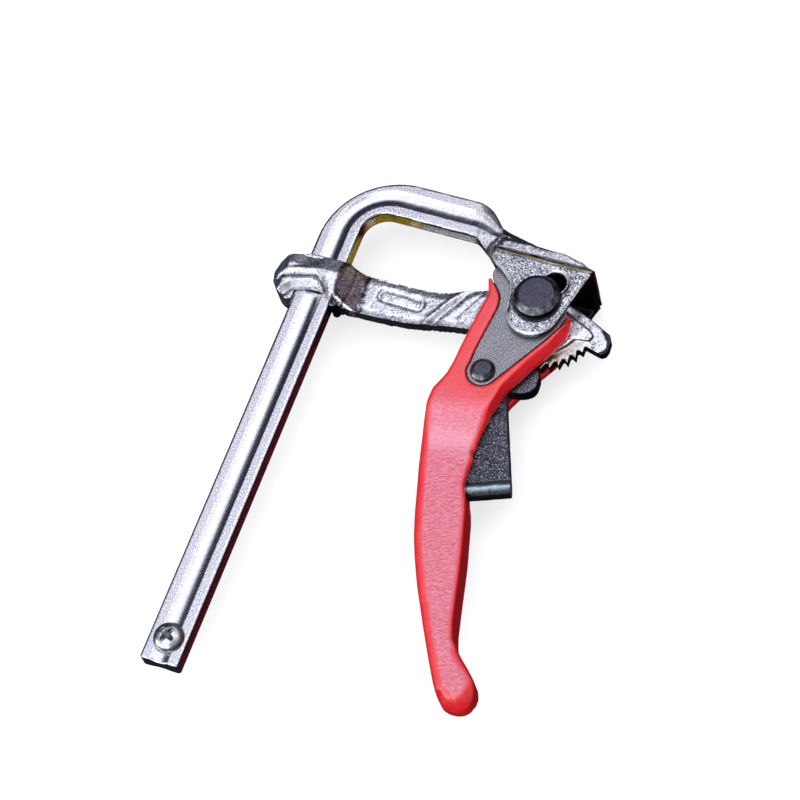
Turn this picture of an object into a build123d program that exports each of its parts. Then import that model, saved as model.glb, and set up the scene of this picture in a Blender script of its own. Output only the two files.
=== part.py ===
from build123d import *
import os
from math import sin, cos, tan, radians, degrees, pi, atan2, hypot, sqrt

# Quick release bar clamp, modelled lying flat: Z is up, out of the wide face of
# the rail. The origin is the centre of the rail's free end face. The rail runs
# along +Y to its bend, and the throat opens towards +X. Millimetres.

os.makedirs("parts", exist_ok=True)

# ---- rail ---------------------------------------------------------------
RAIL_W = 13.5            # rail width (X)
RAIL_T = 6.2             # rail thickness (Z)
HW = RAIL_W / 2
HT = RAIL_T / 2
GROOVE_W = 7.0           # dished groove along both wide faces
GROOVE_D = 0.85
EDGE_R = 0.8             # rolled edges of the rail
OUT_R = 26.95            # outer radius of the bend
OUT_CY = 161.65          # height of its centre
IN_R = 8.5               # inner radius of the bend
IN_CY = 167.07
ARM_TILT = 2.0           # the fixed arm leans in by this many degrees
SCREW_X, SCREW_Y = 0.3, 8.9   # stop screw near the free end

# ---- fixed jaw foot -----------------------------------------------------
SOLE_TILT = 1.24         # degrees, sole and pressure plate lean together
SOLE_X0, SOLE_Y0 = 57.8, 167.20
SOLE_X1 = 92.3
FOOT_HZ = 12.3           # half width of the foot across the rail

# ---- pivot, lever and pressure plate -------------------------------------
PX, PY = 77.2, 152.1     # main pivot
LX, LY = 67.9, 123.2     # link pin, the trigger's pivot
PIN_R = 4.0              # main pivot shank
PIN_HEAD_R = 7.7
LINK_R = 2.75            # link pin shank
FIT = 0.05               # radial running clearance
PLATE_T = 2.5            # sheet thickness of the pressure plate
CHEEK_IN = 9.8           # inner face of its cheeks
CHEEK_OUT = CHEEK_IN + PLATE_T
JAW_GAP = 0.12           # gap between sole and pressure plate when closed
SLOT_DX, SLOT_DY = 0.473, 0.881   # direction of the slots
SLOT_UP = 7.85           # slot centre to centre, above the pin
LEVER_MAX = 42.0         # degrees of lever swing
PLATE_PER_RAD = 7.2      # plate travel along the slots per radian of lever
GAP = 3.5                # half gap of the lever's fork
FORK_FLOOR = 6.4         # floor of the recess that holds a cam plate
FORK_OUT = 9.5           # outer face of the fork
CAM_OUT = 9.25           # outer face of a cam plate
GRIP_HZ = 6.8            # half thickness of the grip

# ---- ratchet ------------------------------------------------------------
TIP_R, ROOT_R = 21.1, 19.35
PITCH = 8.45             # degrees
TIP0 = -72.4             # angle of the first tooth tip right of the pawl
TEETH_LEFT, TEETH_RIGHT = 3, 6
SECTOR_HZ = 2.0
PAWL_CLEAR = 0.25        # pawl nose to tip circle when stored

# ---- sliding arm --------------------------------------------------------
WEB_HZ = 3.0
BOSS_R, BOSS_HZ = 6.9, 3.2
COLLAR_HZ = 6.3
SLIDE_FIT_X, SLIDE_FIT_Z = 0.25, 0.20   # play of the collar on the rail


def arm_top(x):
    """Outer edge of the fixed arm."""
    return 188.58 - (x - 21.14) * tan(radians(ARM_TILT))


def arm_bottom(x):
    """Inner edge of the fixed arm."""
    return 175.56 - (x - 15.55) * tan(radians(ARM_TILT))


def sole_y(x):
    """The foot's sole, the fixed jaw face."""
    return SOLE_Y0 - (x - SOLE_X0) * tan(radians(SOLE_TILT))


def polar(cx, cy, r, a):
    return (cx + r * cos(radians(a)), cy + r * sin(radians(a)))


# =========================================================================
# Rail: a grooved flat bar, bent into the fixed arm and forged into a foot.
# =========================================================================
a_out = 90 - ARM_TILT
NOSE = [(46.4, 187.1), (49.4, 185.2), (52.3, 182.2), (54.9, 179.5)]

with BuildPart() as bar:
    with BuildSketch(Plane.XY.offset(-HT)) as bar_sk:
        with BuildLine() as bar_ln:
            l1 = Line((-HW, 0), (-HW, OUT_CY))
            oc = (-HW + OUT_R, OUT_CY)
            a1 = CenterArc(oc, OUT_R, 180, -(180 - a_out))
            l2 = Line(a1 @ 1, (42.0, arm_top(42.0)))
            s1 = Spline(l2 @ 1, *NOSE[:3], NOSE[3],
                        tangents=[(cos(radians(-ARM_TILT)), sin(radians(-ARM_TILT))), (0.80, -0.62)])
            l3 = Line(s1 @ 1, (57.5, 178.0))
            l4 = Line(l3 @ 1, (57.5, 170.0))
            l5 = Line(l4 @ 1, (52.0, 170.8))
            s2 = Spline(l5 @ 1, (48.6, 173.1), (44.5, arm_bottom(44.5)),
                        tangents=[(-0.9, 0.45), (-cos(radians(ARM_TILT)), sin(radians(ARM_TILT)))])
            ic = (HW + IN_R, IN_CY)
            a2 = CenterArc(ic, IN_R, a_out, 180 - a_out)
            l6 = Line(s2 @ 1, a2 @ 0)
            l7 = Line(a2 @ 1, (HW, 0))
            l8 = Line(l7 @ 1, (-HW, 0))
        make_face()
    extrude(amount=RAIL_T)
    # the long edges are rolled over, and the free end is lightly broken
    long_edges = [e for e in bar.edges()
                  if abs(abs(e.center().Z) - HT) < 1e-3 and e.center().X < 47
                  and e.length > 6 and e.center().Y > 1]
    fillet(long_edges, EDGE_R)

# groove path: straight, bend, arm, and a last turn down the nose
GRV_R = 17.0
GRV_CY = 165.10
g_end = (45.0, 0.5 * (arm_top(45.0) + arm_bottom(45.0)))
dish_r = ((GROOVE_W / 2) ** 2 + GROOVE_D ** 2) / (2 * GROOVE_D)
with BuildPart() as groove_cut:
    with BuildLine() as grv_ln:
        g1 = Line((0, -2), (0, GRV_CY))
        g2 = CenterArc((GRV_R, GRV_CY), GRV_R, 180, -(180 - a_out))
        g3 = Line(g2 @ 1, (42.5, (g2 @ 1).Y - (42.5 - (g2 @ 1).X) * tan(radians(ARM_TILT))))
        g4 = JernArc(start=g3 @ 1, tangent=g3 % 1, radius=11.0, arc_size=-48)
    with BuildSketch(Plane(origin=(0, -2, 0), x_dir=(1, 0, 0), z_dir=(0, 1, 0))) as grv_sk:
        # local Y of this plane points to -Z
        for s in (1, -1):
            with Locations((0, -s * (HT - GROOVE_D + dish_r))):
                Circle(dish_r)
        with Locations((0, 0)):
            Rectangle(40, 2 * (HT + 0.9), mode=Mode.INTERSECT)
    sweep(path=grv_ln.line)

# foot: ruled sections across the nose, out to the toe
FOOT = [  # x, bottom, half width, side top, ridge, half ridge
    (46.5, 174.6, 3.1, 180.0, 186.2, 3.1),
    (50.0, 171.6, 4.8, 175.2, 184.0, 3.1),
    (54.0, 168.7, 8.8, 172.2, 180.0, 3.0),
    (57.8, 167.2, 12.3, 171.0, 178.5, 2.8),
    (68.5, 0.0, 12.3, 170.85, 176.1, 2.2),
    (75.5, 0.0, 12.3, 170.6, 171.9, 1.8),
    (82.0, 0.0, 12.3, 170.2, 170.45, 1.6),
    (87.5, 0.0, 12.1, 168.9, 169.05, 1.6),
    (SOLE_X1, 0.0, 11.2, 167.2, 167.3, 1.6),
]
foot_secs = []
for fx, fb, fh, fs, fr, frh in FOOT:
    fb = fb if fb > 1 else sole_y(fx)
    with BuildSketch(Plane(origin=(fx, 0, 0), x_dir=(0, 1, 0), z_dir=(1, 0, 0))) as sec:
        with BuildLine():
            Polyline((fb, -fh), (fb, fh), (fs, fh), (fr, frh), (fr, -frh), (fs, -fh), close=True)
        make_face()
    foot_secs.append(sec.sketch)

with BuildPart() as foot:
    for sk_ in foot_secs:
        add(sk_)
    loft(ruled=True)

with BuildPart() as rail:
    add(bar.part)
    add(groove_cut.part, mode=Mode.SUBTRACT)
    add(foot.part)
    # hole for the stop screw
    with BuildSketch(Plane.XY.offset(-HT - 1)):
        with Locations((SCREW_X, SCREW_Y)):
            Circle(2.5)
    extrude(amount=RAIL_T + 2, mode=Mode.SUBTRACT)
    end_edges = [e for e in rail.edges() if abs(e.center().Y) < 1e-3]
    chamfer(end_edges, 0.35)
rail.part.label = "rail"
export_step(rail.part, "parts/rail.step")

# Stop screw: pan head with a cross recess, threaded through the rail.
HEAD_R, HEAD_H = 5.2, 3.1
with BuildPart() as end_screw:
    with BuildSketch(Plane.XZ) as es_sk:
        with BuildLine():
            Polyline((0, -HT + 0.2), (2.5, -HT + 0.2), (2.5, HT - GROOVE_D * 0.2), (2.5, HT))
            Line((2.5, HT), (HEAD_R, HT))
            Line((HEAD_R, HT), (HEAD_R, HT + 0.9))
            ThreePointArc((HEAD_R, HT + 0.9), (HEAD_R * 0.82, HT + 2.15), (HEAD_R * 0.45, HT + 2.95))
            Line((HEAD_R * 0.45, HT + 2.95), (0, HT + HEAD_H))
            Line((0, HT + HEAD_H), (0, -HT + 0.2))
        make_face()
    revolve(axis=Axis.Z)
    with BuildSketch(Plane.XY.offset(HT + 1.15)) as cross:
        Rectangle(1.1, 5.0, rotation=20)
        Rectangle(5.0, 1.1, rotation=20)
        Circle(1.25)
    extrude(amount=4, mode=Mode.SUBTRACT)
end_screw_part = end_screw.part.moved(Location((SCREW_X, SCREW_Y, 0)))
end_screw_part.label = "end_screw"
export_step(end_screw_part, "parts/end_screw.step")

# =========================================================================
# Sliding arm: forged collar, ribbed web, pivot boss, toothed sector and tab.
# =========================================================================
COLLAR = [(8.6, 153.2), (0.5, 153.7), (-6.2, 153.6), (-12.0, 151.6), (-15.6, 148.4), (-16.8, 144.6),
          (-15.6, 140.6), (-12.6, 136.9), (-9.2, 135.0), (-4.6, 137.2), (0.0, 138.5), (5.2, 138.7),
          (7.6, 137.0), (10.8, 136.8), (12.5, 144.5), (11.5, 151.6)]
with BuildPart() as sliding_arm:
    # collar
    with BuildSketch(Plane.XY.offset(-COLLAR_HZ)):
        with BuildLine():
            Polyline(*COLLAR, close=True)
        make_face()
    extrude(amount=2 * COLLAR_HZ)
    # its faces slope in above the strap, and towards the web on the right
    for s in (1, -1):
        with BuildSketch(Plane(origin=(-30, 0, 0), x_dir=(0, 1, 0), z_dir=(1, 0, 0))):
            with BuildLine():
                Polyline((147.6, s * (COLLAR_HZ + 0.01)), (154.4, s * 3.55), (156, s * 3.55), (156, s * 8), (147.6, s * 8), close=True)
            make_face()
        extrude(amount=50, mode=Mode.SUBTRACT)
        with BuildSketch(Plane(origin=(0, 120, 0), x_dir=(1, 0, 0), z_dir=(0, 1, 0))):
            with BuildLine():
                # local Y is -Z
                Polyline((7.2, -s * (COLLAR_HZ + 0.01)), (12.6, -s * WEB_HZ), (14, -s * WEB_HZ), (14, -s * 8), (7.2, -s * 8), close=True)
            make_face()
        extrude(amount=50, mode=Mode.SUBTRACT)
        with BuildSketch(Plane(origin=(0, 120, 0), x_dir=(1, 0, 0), z_dir=(0, 1, 0))):
            with BuildLine():
                Polyline((-11.6, -s * (COLLAR_HZ + 0.01)), (-17.0, -s * 1.6), (-19, -s * 1.6), (-19, -s * 8), (-11.6, -s * 8), close=True)
            make_face()
        extrude(amount=50, mode=Mode.SUBTRACT)
    # web
    with BuildSketch(Plane.XY.offset(-WEB_HZ)) as web_sk:
        with BuildLine():
            Polyline((7.6, 137.0), (15.7, 136.6), (24.0, 136.6), (34.7, 137.0), (42.0, 138.3),
                     (50.0, 139.6), (56.0, 140.3), (62.0, 139.2), (67.5, 136.0), (72.5, 140.0), (80.0, 146.5),
                     (77.2, 159.0), (70.5, 158.6), (64.0, 157.6), (57.0, 155.7), (50.5, 153.9),
                     (45.5, 151.8), (41.0, 150.9), (36.0, 150.6), (30.9, 150.5), (23.8, 150.7), (16.4, 150.9),
                     (13.4, 151.4), (9.0, 152.6), (8.0, 145.0), close=True)
        make_face()
    extrude(amount=2 * WEB_HZ)
    # stadium recess and the lower ledge before the lever
    for s in (1, -1):
        with BuildSketch(Plane.XY.offset(s * WEB_HZ)):
            with Locations((30.0, 144.7)):
                SlotOverall(17.0, 5.2, rotation=-3)
        extrude(amount=-s * 0.55, mode=Mode.SUBTRACT)
    # pivot boss
    with BuildSketch(Plane.XY.offset(-BOSS_HZ)):
        with Locations((PX, PY)):
            Circle(BOSS_R)
        with BuildLine():
            Polyline((56.5, 142.0), (66.0, 139.8), (74.0, 136.3), (84.0, 137.5), (86.6, 139.2), (89.6, 142.6), (91.4, 145.4),
                     (96.2, 145.9), (96.9, 147.8), (95.4, 149.4), (88.0, 152.9), (83.4, 155.2), (77.2, 157.4), (66.0, 156.6), (58.5, 154.6), close=True)
        make_face()
    extrude(amount=2 * BOSS_HZ)
    # toothed sector and stop tab
    with BuildSketch(Plane.XY.offset(-SECTOR_HZ)) as sector_sk:
        pts = []
        for i in range(-TEETH_LEFT, TEETH_RIGHT):
            a = TIP0 + PITCH * i
            pts.append(polar(PX, PY, ROOT_R, a - 0.9))
            pts.append(polar(PX, PY, TIP_R, a))
        tab = [polar(PX, PY, ROOT_R, TIP0 + PITCH * TEETH_RIGHT - 0.9), (95.9, 144.0), (101.2, 142.45), (102.6, 143.3), (103.2, 145.2),
               (103.0, 148.2), (101.9, 150.3), (96.8, 153.0), (93.8, 154.3), (86.4, 157.5), (81.0, 157.6), (PX, PY)]
        pts = pts + tab + [(66.0, 141.0), (68.5, 135.6)]
        with BuildLine():
            Polyline(*pts, close=True)
        make_face()
    extrude(amount=2 * SECTOR_HZ)
    # rail slot through the collar
    with BuildSketch(Plane(origin=(0, 120, 0), x_dir=(1, 0, 0), z_dir=(0, 1, 0))):
        Rectangle(RAIL_W + 2 * SLIDE_FIT_X, RAIL_T + 2 * SLIDE_FIT_Z)
    extrude(amount=60, mode=Mode.SUBTRACT)
    # pivot bore
    with BuildSketch(Plane.XY.offset(-10)):
        with Locations((PX, PY)):
            Circle(PIN_R)
    extrude(amount=20, mode=Mode.SUBTRACT)
    # seats for the two grip pins, across the collar
    for gx, gy in ((HW + SLIDE_FIT_X + 1.05, 137.5), (-HW - SLIDE_FIT_X - 1.05, 150.2)):
        with BuildSketch(Plane.XY.offset(-4.2)):
            with Locations((gx, gy)):
                Circle(1.5)
        extrude(amount=8.4, mode=Mode.SUBTRACT)
sliding_arm.part.label = "sliding_arm"
export_step(sliding_arm.part, "parts/sliding_arm.step")
print("sliding arm solids", len(sliding_arm.part.solids()))
print("rail solids", len(rail.part.solids()), rail.part.bounding_box())

# Grip pins: hardened dowels let into the collar. They bite the rail's edges.
GRIP_PINS = {"grip_pin_inner": (HW + SLIDE_FIT_X + 1.05, 137.5), "grip_pin_outer": (-HW - SLIDE_FIT_X - 1.05, 150.2)}
for gname, (gx, gy) in GRIP_PINS.items():
    with BuildPart() as dowel:
        with BuildSketch(Plane.XY.offset(-4.1)):
            with Locations((gx, gy)):
                Circle(1.5)
        extrude(amount=8.2)
        # ground flat on the rail side, just clear of the rail
        with BuildSketch(Plane.XY.offset(-5)):
            with Locations((0, gy)):
                Rectangle(2 * (HW + 0.12), 6)
        extrude(amount=10, mode=Mode.SUBTRACT)
        chamfer(dowel.edges().filter_by(GeomType.CIRCLE).group_by(Axis.Z)[-1], 0.25)
    dowel.part.label = gname
    export_step(dowel.part, "parts/" + gname + ".step")

# =========================================================================
# Pressure plate: a folded channel with two lobed cheeks and slotted for the pin.
# =========================================================================
tw = tan(radians(SOLE_TILT))
web_out = lambda x: sole_y(x) - JAW_GAP
LOBE_X, LOBE_Y, LOBE_R = 77.35, 147.2, 9.0
with BuildPart() as pressure_plate:
    # side outline, both cheeks and everything between
    with BuildSketch(Plane.XY.offset(-CHEEK_OUT)) as pp_sk:
        with BuildLine():
            p1 = Polyline((57.6, web_out(57.6)), (92.0, web_out(92.0)), (91.3, 164.4), (88.75, 154.8), (86.1, 145.3))
            p2 = ThreePointArc(p1 @ 1, polar(LOBE_X, LOBE_Y, LOBE_R, -75), (68.6, 145.2))
            p3 = Spline(p2 @ 1, (68.3, 148.3), (67.75, 151.9), (66.0, 155.9), (62.6, 159.1), (59.1, 161.4), (57.4, 164.1),
                        tangents=[(0.0, 1.0), (-0.1, 1.0)])
            Line(p3 @ 1, p1 @ 0)
        make_face()
    extrude(amount=2 * CHEEK_OUT)
    # hollow between the cheeks, under the web, with a bend radius inside
    with BuildSketch(Plane(origin=(40, 0, 0), x_dir=(0, 1, 0), z_dir=(1, 0, 0))) as hollow_sk:
        with BuildLine():
            yi = web_out(75.0) - PLATE_T
            Polyline((120, -CHEEK_IN), (yi - 0.45, -CHEEK_IN), (yi, -CHEEK_IN + 0.45), (yi, CHEEK_IN - 0.45), (yi - 0.45, CHEEK_IN), (120, CHEEK_IN), close=True)
        make_face()
    hollow = extrude(amount=80, mode=Mode.PRIVATE)
    hollow = hollow.rotate(Axis((75.0, web_out(75.0), 0), (0, 0, 1)), -SOLE_TILT)
    add(hollow, mode=Mode.SUBTRACT)
    # slots
    s_len = SLOT_UP + 0.6
    s_ang = degrees(atan2(SLOT_DY, SLOT_DX))
    mid = ((SLOT_UP - 0.6) / 2)
    with BuildSketch(Plane.XY.offset(-20)):
        with Locations((PX + SLOT_DX * mid, PY + SLOT_DY * mid)):
            SlotCenterToCenter(s_len, 2 * (PIN_R + 0.1), rotation=s_ang)
    extrude(amount=40, mode=Mode.SUBTRACT)
pressure_plate.part.label = "pressure_plate"
export_step(pressure_plate.part, "parts/pressure_plate.step")

# Main pivot pin, pressed into the arm's boss, its head outside the front cheek.
PIN_Z0 = -CHEEK_OUT - 2.2
with BuildPart() as pivot_pin:
    with BuildSketch(Plane.XZ):
        with BuildLine():
            Polyline((0, PIN_Z0), (PIN_R - 0.5, PIN_Z0), (PIN_R, PIN_Z0 + 0.5), (PIN_R, CHEEK_OUT + 0.15),
                     (PIN_HEAD_R, CHEEK_OUT + 0.15), (PIN_HEAD_R, CHEEK_OUT + 1.35), (5.75, CHEEK_OUT + 3.3),
                     (0, CHEEK_OUT + 3.3), close=True)
        make_face()
    revolve(axis=Axis.Z)
pivot_pin_part = pivot_pin.part.moved(Location((PX, PY, 0)))
pivot_pin_part.label = "pivot_pin"
export_step(pivot_pin_part, "parts/pivot_pin.step")

# Rear washer, peened on behind the rear cheek.
with BuildPart() as pivot_washer:
    with BuildSketch(Plane.XY.offset(-CHEEK_OUT - 0.15 - 1.4)):
        with Locations((PX, PY)):
            Circle(6.8)
            Circle(PIN_R, mode=Mode.SUBTRACT)
    extrude(amount=1.4)
    chamfer(pivot_washer.edges().group_by(Axis.Z)[0].sort_by(SortBy.LENGTH)[-1], 0.4)
pivot_washer.part.label = "pivot_washer"
export_step(pivot_washer.part, "parts/pivot_washer.step")

# =========================================================================
# Cam plates: hardened plates let into the lever's fork, one on each side.
# =========================================================================
N_ANG = 90.0 - SOLE_TILT                 # direction from the pivot square to the web
H0 = (web_out(PX) - PLATE_T - PY) * cos(radians(SOLE_TILT)) - 0.10   # cam height when closed
K_N = PLATE_PER_RAD * (SLOT_DX * sin(radians(SOLE_TILT)) + SLOT_DY * cos(radians(SOLE_TILT)))


def cam_point(th):
    """Point of the cam profile that touches the web at lever angle th (degrees)."""
    phi = radians(N_ANG - th)
    h = H0 - K_N * radians(th)
    n = (cos(phi), sin(phi))
    t = (-sin(phi), cos(phi))
    return (PX + h * n[0] + K_N * t[0], PY + h * n[1] + K_N * t[1])


cam_pts = [cam_point(t) for t in (0, 8, 16, 24, 32, 40, 46)]
CAM_LOBE_R = 5.3
with BuildPart() as cam_plate_front:
    with BuildSketch(Plane.XY.offset(FORK_FLOOR + 0.05)) as cam_sk:
        with BuildLine():
            # left edge from the link pin lobe to the shoulder
            c0 = ThreePointArc((71.9, 120.1), polar(LX, LY, CAM_LOBE_R, -112), (62.7, 124.6))
            c1 = Spline(c0 @ 1, (62.9, 129.5), (63.35, 134.5), (64.1, 140.5), (64.75, 147.0), (64.35, 150.6), (61.6, 154.6), (59.3, 157.6),
                        tangents=[(0.0, 1.0), (-0.45, 0.9)])
            c2 = Spline(c1 @ 1, (58.75, 159.4), (59.3, 161.3), (61.2, 162.5), (64.5, 163.5), cam_pts[0],
                        tangents=[(-0.3, 1.0), (1.0, 0.03)])
            c3 = Spline(*cam_pts, tangents=[(1.0, -0.02), (0.69, -0.72)])
            c4 = Polyline(c3 @ 1, (80.2, 158.8), (83.0, 156.2), (86.1, 153.2), (87.8, 150.2), (87.0, 145.3), (83.6, 138.9), (71.9, 120.1))
        make_face()
    extrude(amount=CAM_OUT - FORK_FLOOR - 0.05)
    with BuildSketch(Plane.XY):
        with Locations((PX, PY)):
            Circle(PIN_R + FIT)
        with Locations((LX, LY)):
            Circle(LINK_R)
    extrude(amount=20, mode=Mode.SUBTRACT)
cam_plate_front.part.label = "cam_plate_front"
export_step(cam_plate_front.part, "parts/cam_plate_front.step")
with BuildPart() as cam_plate_rear:
    mirror(cam_plate_front.part, about=Plane.XY)
cam_plate_rear.part.label = "cam_plate_rear"
export_step(cam_plate_rear.part, "parts/cam_plate_rear.step")

# =========================================================================
# Lever: a cast handle, forked at the top, with a channel for the trigger.
# =========================================================================
FORK_LOW = [  # inner layer of a fork arm, and the neck
    (57.9, 157.0), (59.9, 151.2), (59.0, 145.0), (58.2, 137.8), (57.5, 130.2), (57.1, 124.1), (56.3, 119.6), (54.9, 116.3),
    (53.6, 113.6), (53.3, 108.6), (55.3, 96.6), (74.0, 96.6), (74.3, 103.0), (74.6, 110.5), (76.8, 119.8), (82.3, 130.3), (86.8, 137.9),
    (89.2, 143.4), (89.7, 146.4), (89.3, 149.8), (88.2, 151.3), (85.9, 152.5), (83.6, 155.4), (80.8, 157.5), (77.4, 158.3), (73.0, 157.6), (66.0, 157.6)]
FORK_RIM = [  # outer rim, drawn in from the inner layer on the right
    (57.9, 157.0), (59.9, 151.2), (59.0, 145.0), (58.2, 137.8), (57.5, 130.2), (57.1, 124.1), (56.3, 119.6), (54.9, 116.3),
    (53.6, 113.6), (53.3, 108.6), (55.3, 96.6), (73.4, 96.6), (73.3, 104.5), (73.8, 110.3), (74.7, 118.0), (76.2, 123.0), (80.7, 131.6), (85.35, 139.0),
    (87.1, 143.6), (88.6, 149.3), (85.0, 153.0), (77.4, 158.3), (66.0, 157.6)]
GRIP = [  # grip outline
    (53.6, 113.6), (53.3, 108.6), (54.2, 101.8), (55.6, 95.5), (57.8, 86.5), (60.0, 78.7), (62.2, 71.0), (64.5, 63.7), (66.8, 57.8), (69.3, 52.2),
    (72.0, 46.5), (74.9, 41.0), (77.8, 35.5), (80.7, 30.1), (83.7, 24.7), (86.7, 19.4), (89.8, 14.0), (92.6, 10.4),
    (95.0, 9.4), (97.4, 9.6), (99.4, 11.0), (100.8, 13.4), (101.3, 16.4), (101.1, 19.2), (99.9, 22.0), (97.3, 24.6), (94.6, 27.0),
    (91.6, 30.0), (89.2, 33.2), (87.6, 37.8), (86.2, 43.8), (84.9, 49.6), (83.7, 55.2), (82.4, 60.6), (81.1, 65.6), (79.8, 70.6),
    (78.5, 75.0), (77.0, 78.6), (75.2, 81.8), (73.8, 84.9), (73.1, 88.6), (72.9, 93.3), (73.4, 99.0), (73.9, 104.5), (74.2, 110.5), (68.0, 116.0)]


def channel_region():
    """Outline, seen from the front, of the space between the fork arms."""
    return [(50, 134.5), (60.6, 134.5), (61.6, 129.5), (61.6, 121.5), (62.8, 118.2), (64.8, 115.2), (66.0, 110.0), (66.3, 104.0), (66.2, 96.0),
            (66.4, 88.0), (66.6, 82.6), (67.4, 79.8), (69.6, 78.4), (73.2, 78.0), (78.0, 78.6), (96.0, 84.0), (100, 100), (100, 170), (50, 170)]


def slope_cut(cx, cy, ang, s):
    """Wedge that thins the fork down to the grip, across the handle's length."""
    pl = Plane(origin=(cx - 40 * cos(radians(ang)), cy - 40 * sin(radians(ang)), 0),
               x_dir=(sin(radians(ang)), -cos(radians(ang)), 0), z_dir=(cos(radians(ang)), sin(radians(ang)), 0))
    with BuildPart() as w:
        with BuildSketch(pl):
            with BuildLine():
                # local X runs down the handle, local Y along row Z
                pts = [(-4.5, FORK_OUT), (-2.2, FORK_OUT - 0.35), (0.8, FORK_OUT - 1.55), (3.6, GRIP_HZ + 0.45), (6.5, GRIP_HZ + 0.05), (9, GRIP_HZ), (30, GRIP_HZ), (30, 14), (-4.5, 14)]
                yd = pl.y_dir.Z
                Polyline(*[(a, s * yd * b) for a, b in pts], close=True)
            make_face()
        extrude(amount=90)
    return w.part


slopes = [slope_cut(64.5, 106.5, 12.6, s) for s in (1, -1)]
with BuildPart() as lever_handle:
    with BuildSketch(Plane.XY.offset(-FORK_OUT)) as low_sk:
        with BuildLine():
            Polyline(*FORK_LOW, close=True)
        make_face()
    extrude(amount=2 * FORK_OUT)
    # draw the rim in on the right, above the recess floor
    for s in (1, -1):
        with BuildSketch(Plane.XY.offset(s * 5.6)) as o_low:
            with BuildLine():
                Polyline((100, 90), (73.9, 90), (74.45, 103.0), (74.75, 110.5), (76.95, 119.8), (82.45, 130.3), (86.95, 137.9), (89.35, 143.4), (89.85, 146.4), (90.2, 152), (100, 152), close=True)
            make_face()
        with BuildSketch(Plane.XY.offset(s * (FORK_OUT + 0.01))) as o_rim:
            with BuildLine():
                Polyline((100, 90), (73.3, 90), (73.3, 103.0), (73.8, 110.5), (75.6, 120.4), (80.9, 131.4), (85.35, 138.7), (87.2, 143.6), (88.0, 146.4), (88.8, 152), (100, 152), close=True)
            make_face()
        loft(ruled=True, mode=Mode.SUBTRACT)
    for slope in slopes:
        add(slope, mode=Mode.SUBTRACT)
    with BuildSketch(Plane.XY.offset(-GRIP_HZ)) as grip_sk:
        with BuildLine():
            Polyline(*GRIP, close=True)
        make_face()
    extrude(amount=2 * GRIP_HZ)
    # fork gap and trigger channel
    with BuildSketch(Plane.XY.offset(-GAP)):
        with BuildLine():
            Polyline(*channel_region(), close=True)
        make_face()
    extrude(amount=2 * GAP, mode=Mode.SUBTRACT)
    # recesses for the cam plates, open at the top and on the upper right
    for s in (1, -1):
        with BuildSketch(Plane.XY.offset(s * FORK_FLOOR)):
            with BuildLine():
                r0 = ThreePointArc((72.1, 119.9), polar(LX, LY, CAM_LOBE_R + 0.25, -112), (62.45, 124.6))
                r1 = Spline(r0 @ 1, (62.65, 129.5), (63.1, 134.5), (63.85, 140.5), (64.5, 147.0), (64.1, 150.5), (61.4, 154.4), (59.0, 157.4),
                            tangents=[(0.0, 1.0), (-0.45, 0.9)])
                Polyline(r1 @ 1, (56.0, 164.0), (96, 164.0), (96, 150.0), (89.5, 150.0), (87.3, 145.3), (83.85, 138.8), (72.1, 119.9))
            make_face()
        extrude(amount=s * 6, mode=Mode.SUBTRACT)
    # bores: the pivot runs, the link pin is tight
    with BuildSketch(Plane.XY.offset(-20)):
        with Locations((PX, PY)):
            Circle(PIN_R + FIT)
        with Locations((LX, LY)):
            Circle(LINK_R)
    extrude(amount=40, mode=Mode.SUBTRACT)
    # seat for the trigger spring, bored into the channel's floor
    with BuildSketch(Plane(origin=(62.3, 98.0, 0), x_dir=(0, 1, 0), z_dir=(1, 0, 0))):
        Circle(2.6)
    extrude(amount=6, mode=Mode.SUBTRACT)
print("handle solids", len(lever_handle.part.solids()))
lever_handle.part.label = "lever_handle"
export_step(lever_handle.part, "parts/lever_handle.step")

# Link pin: joins both cam plates to the handle and carries pawl and trigger.
with BuildPart() as link_pin:
    with BuildSketch(Plane.XZ):
        with BuildLine():
            Polyline((0, -CAM_OUT - 1.3), (LINK_R - 0.3, -CAM_OUT - 1.3), (LINK_R, -CAM_OUT - 1.0), (LINK_R, CAM_OUT + 0.03),
                     (4.2, CAM_OUT + 0.03), (4.2, CAM_OUT + 0.8), (2.8, CAM_OUT + 2.3), (0, CAM_OUT + 2.3), close=True)
        make_face()
    revolve(axis=Axis.Z)
link_pin_part = link_pin.part.moved(Location((LX, LY, 0)))
link_pin_part.label = "link_pin"
export_step(link_pin_part, "parts/link_pin.step")

with BuildPart() as link_clip:
    with BuildSketch(Plane.XY.offset(-CAM_OUT - 0.03 - 0.9)):
        with Locations((LX, LY)):
            Circle(4.3)
            Circle(LINK_R, mode=Mode.SUBTRACT)
    extrude(amount=0.9)
    chamfer(link_clip.edges().group_by(Axis.Z)[0].sort_by(SortBy.LENGTH)[-1], 0.25)
link_clip.part.label = "link_pin_washer"
export_step(link_clip.part, "parts/link_pin_washer.step")

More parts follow.
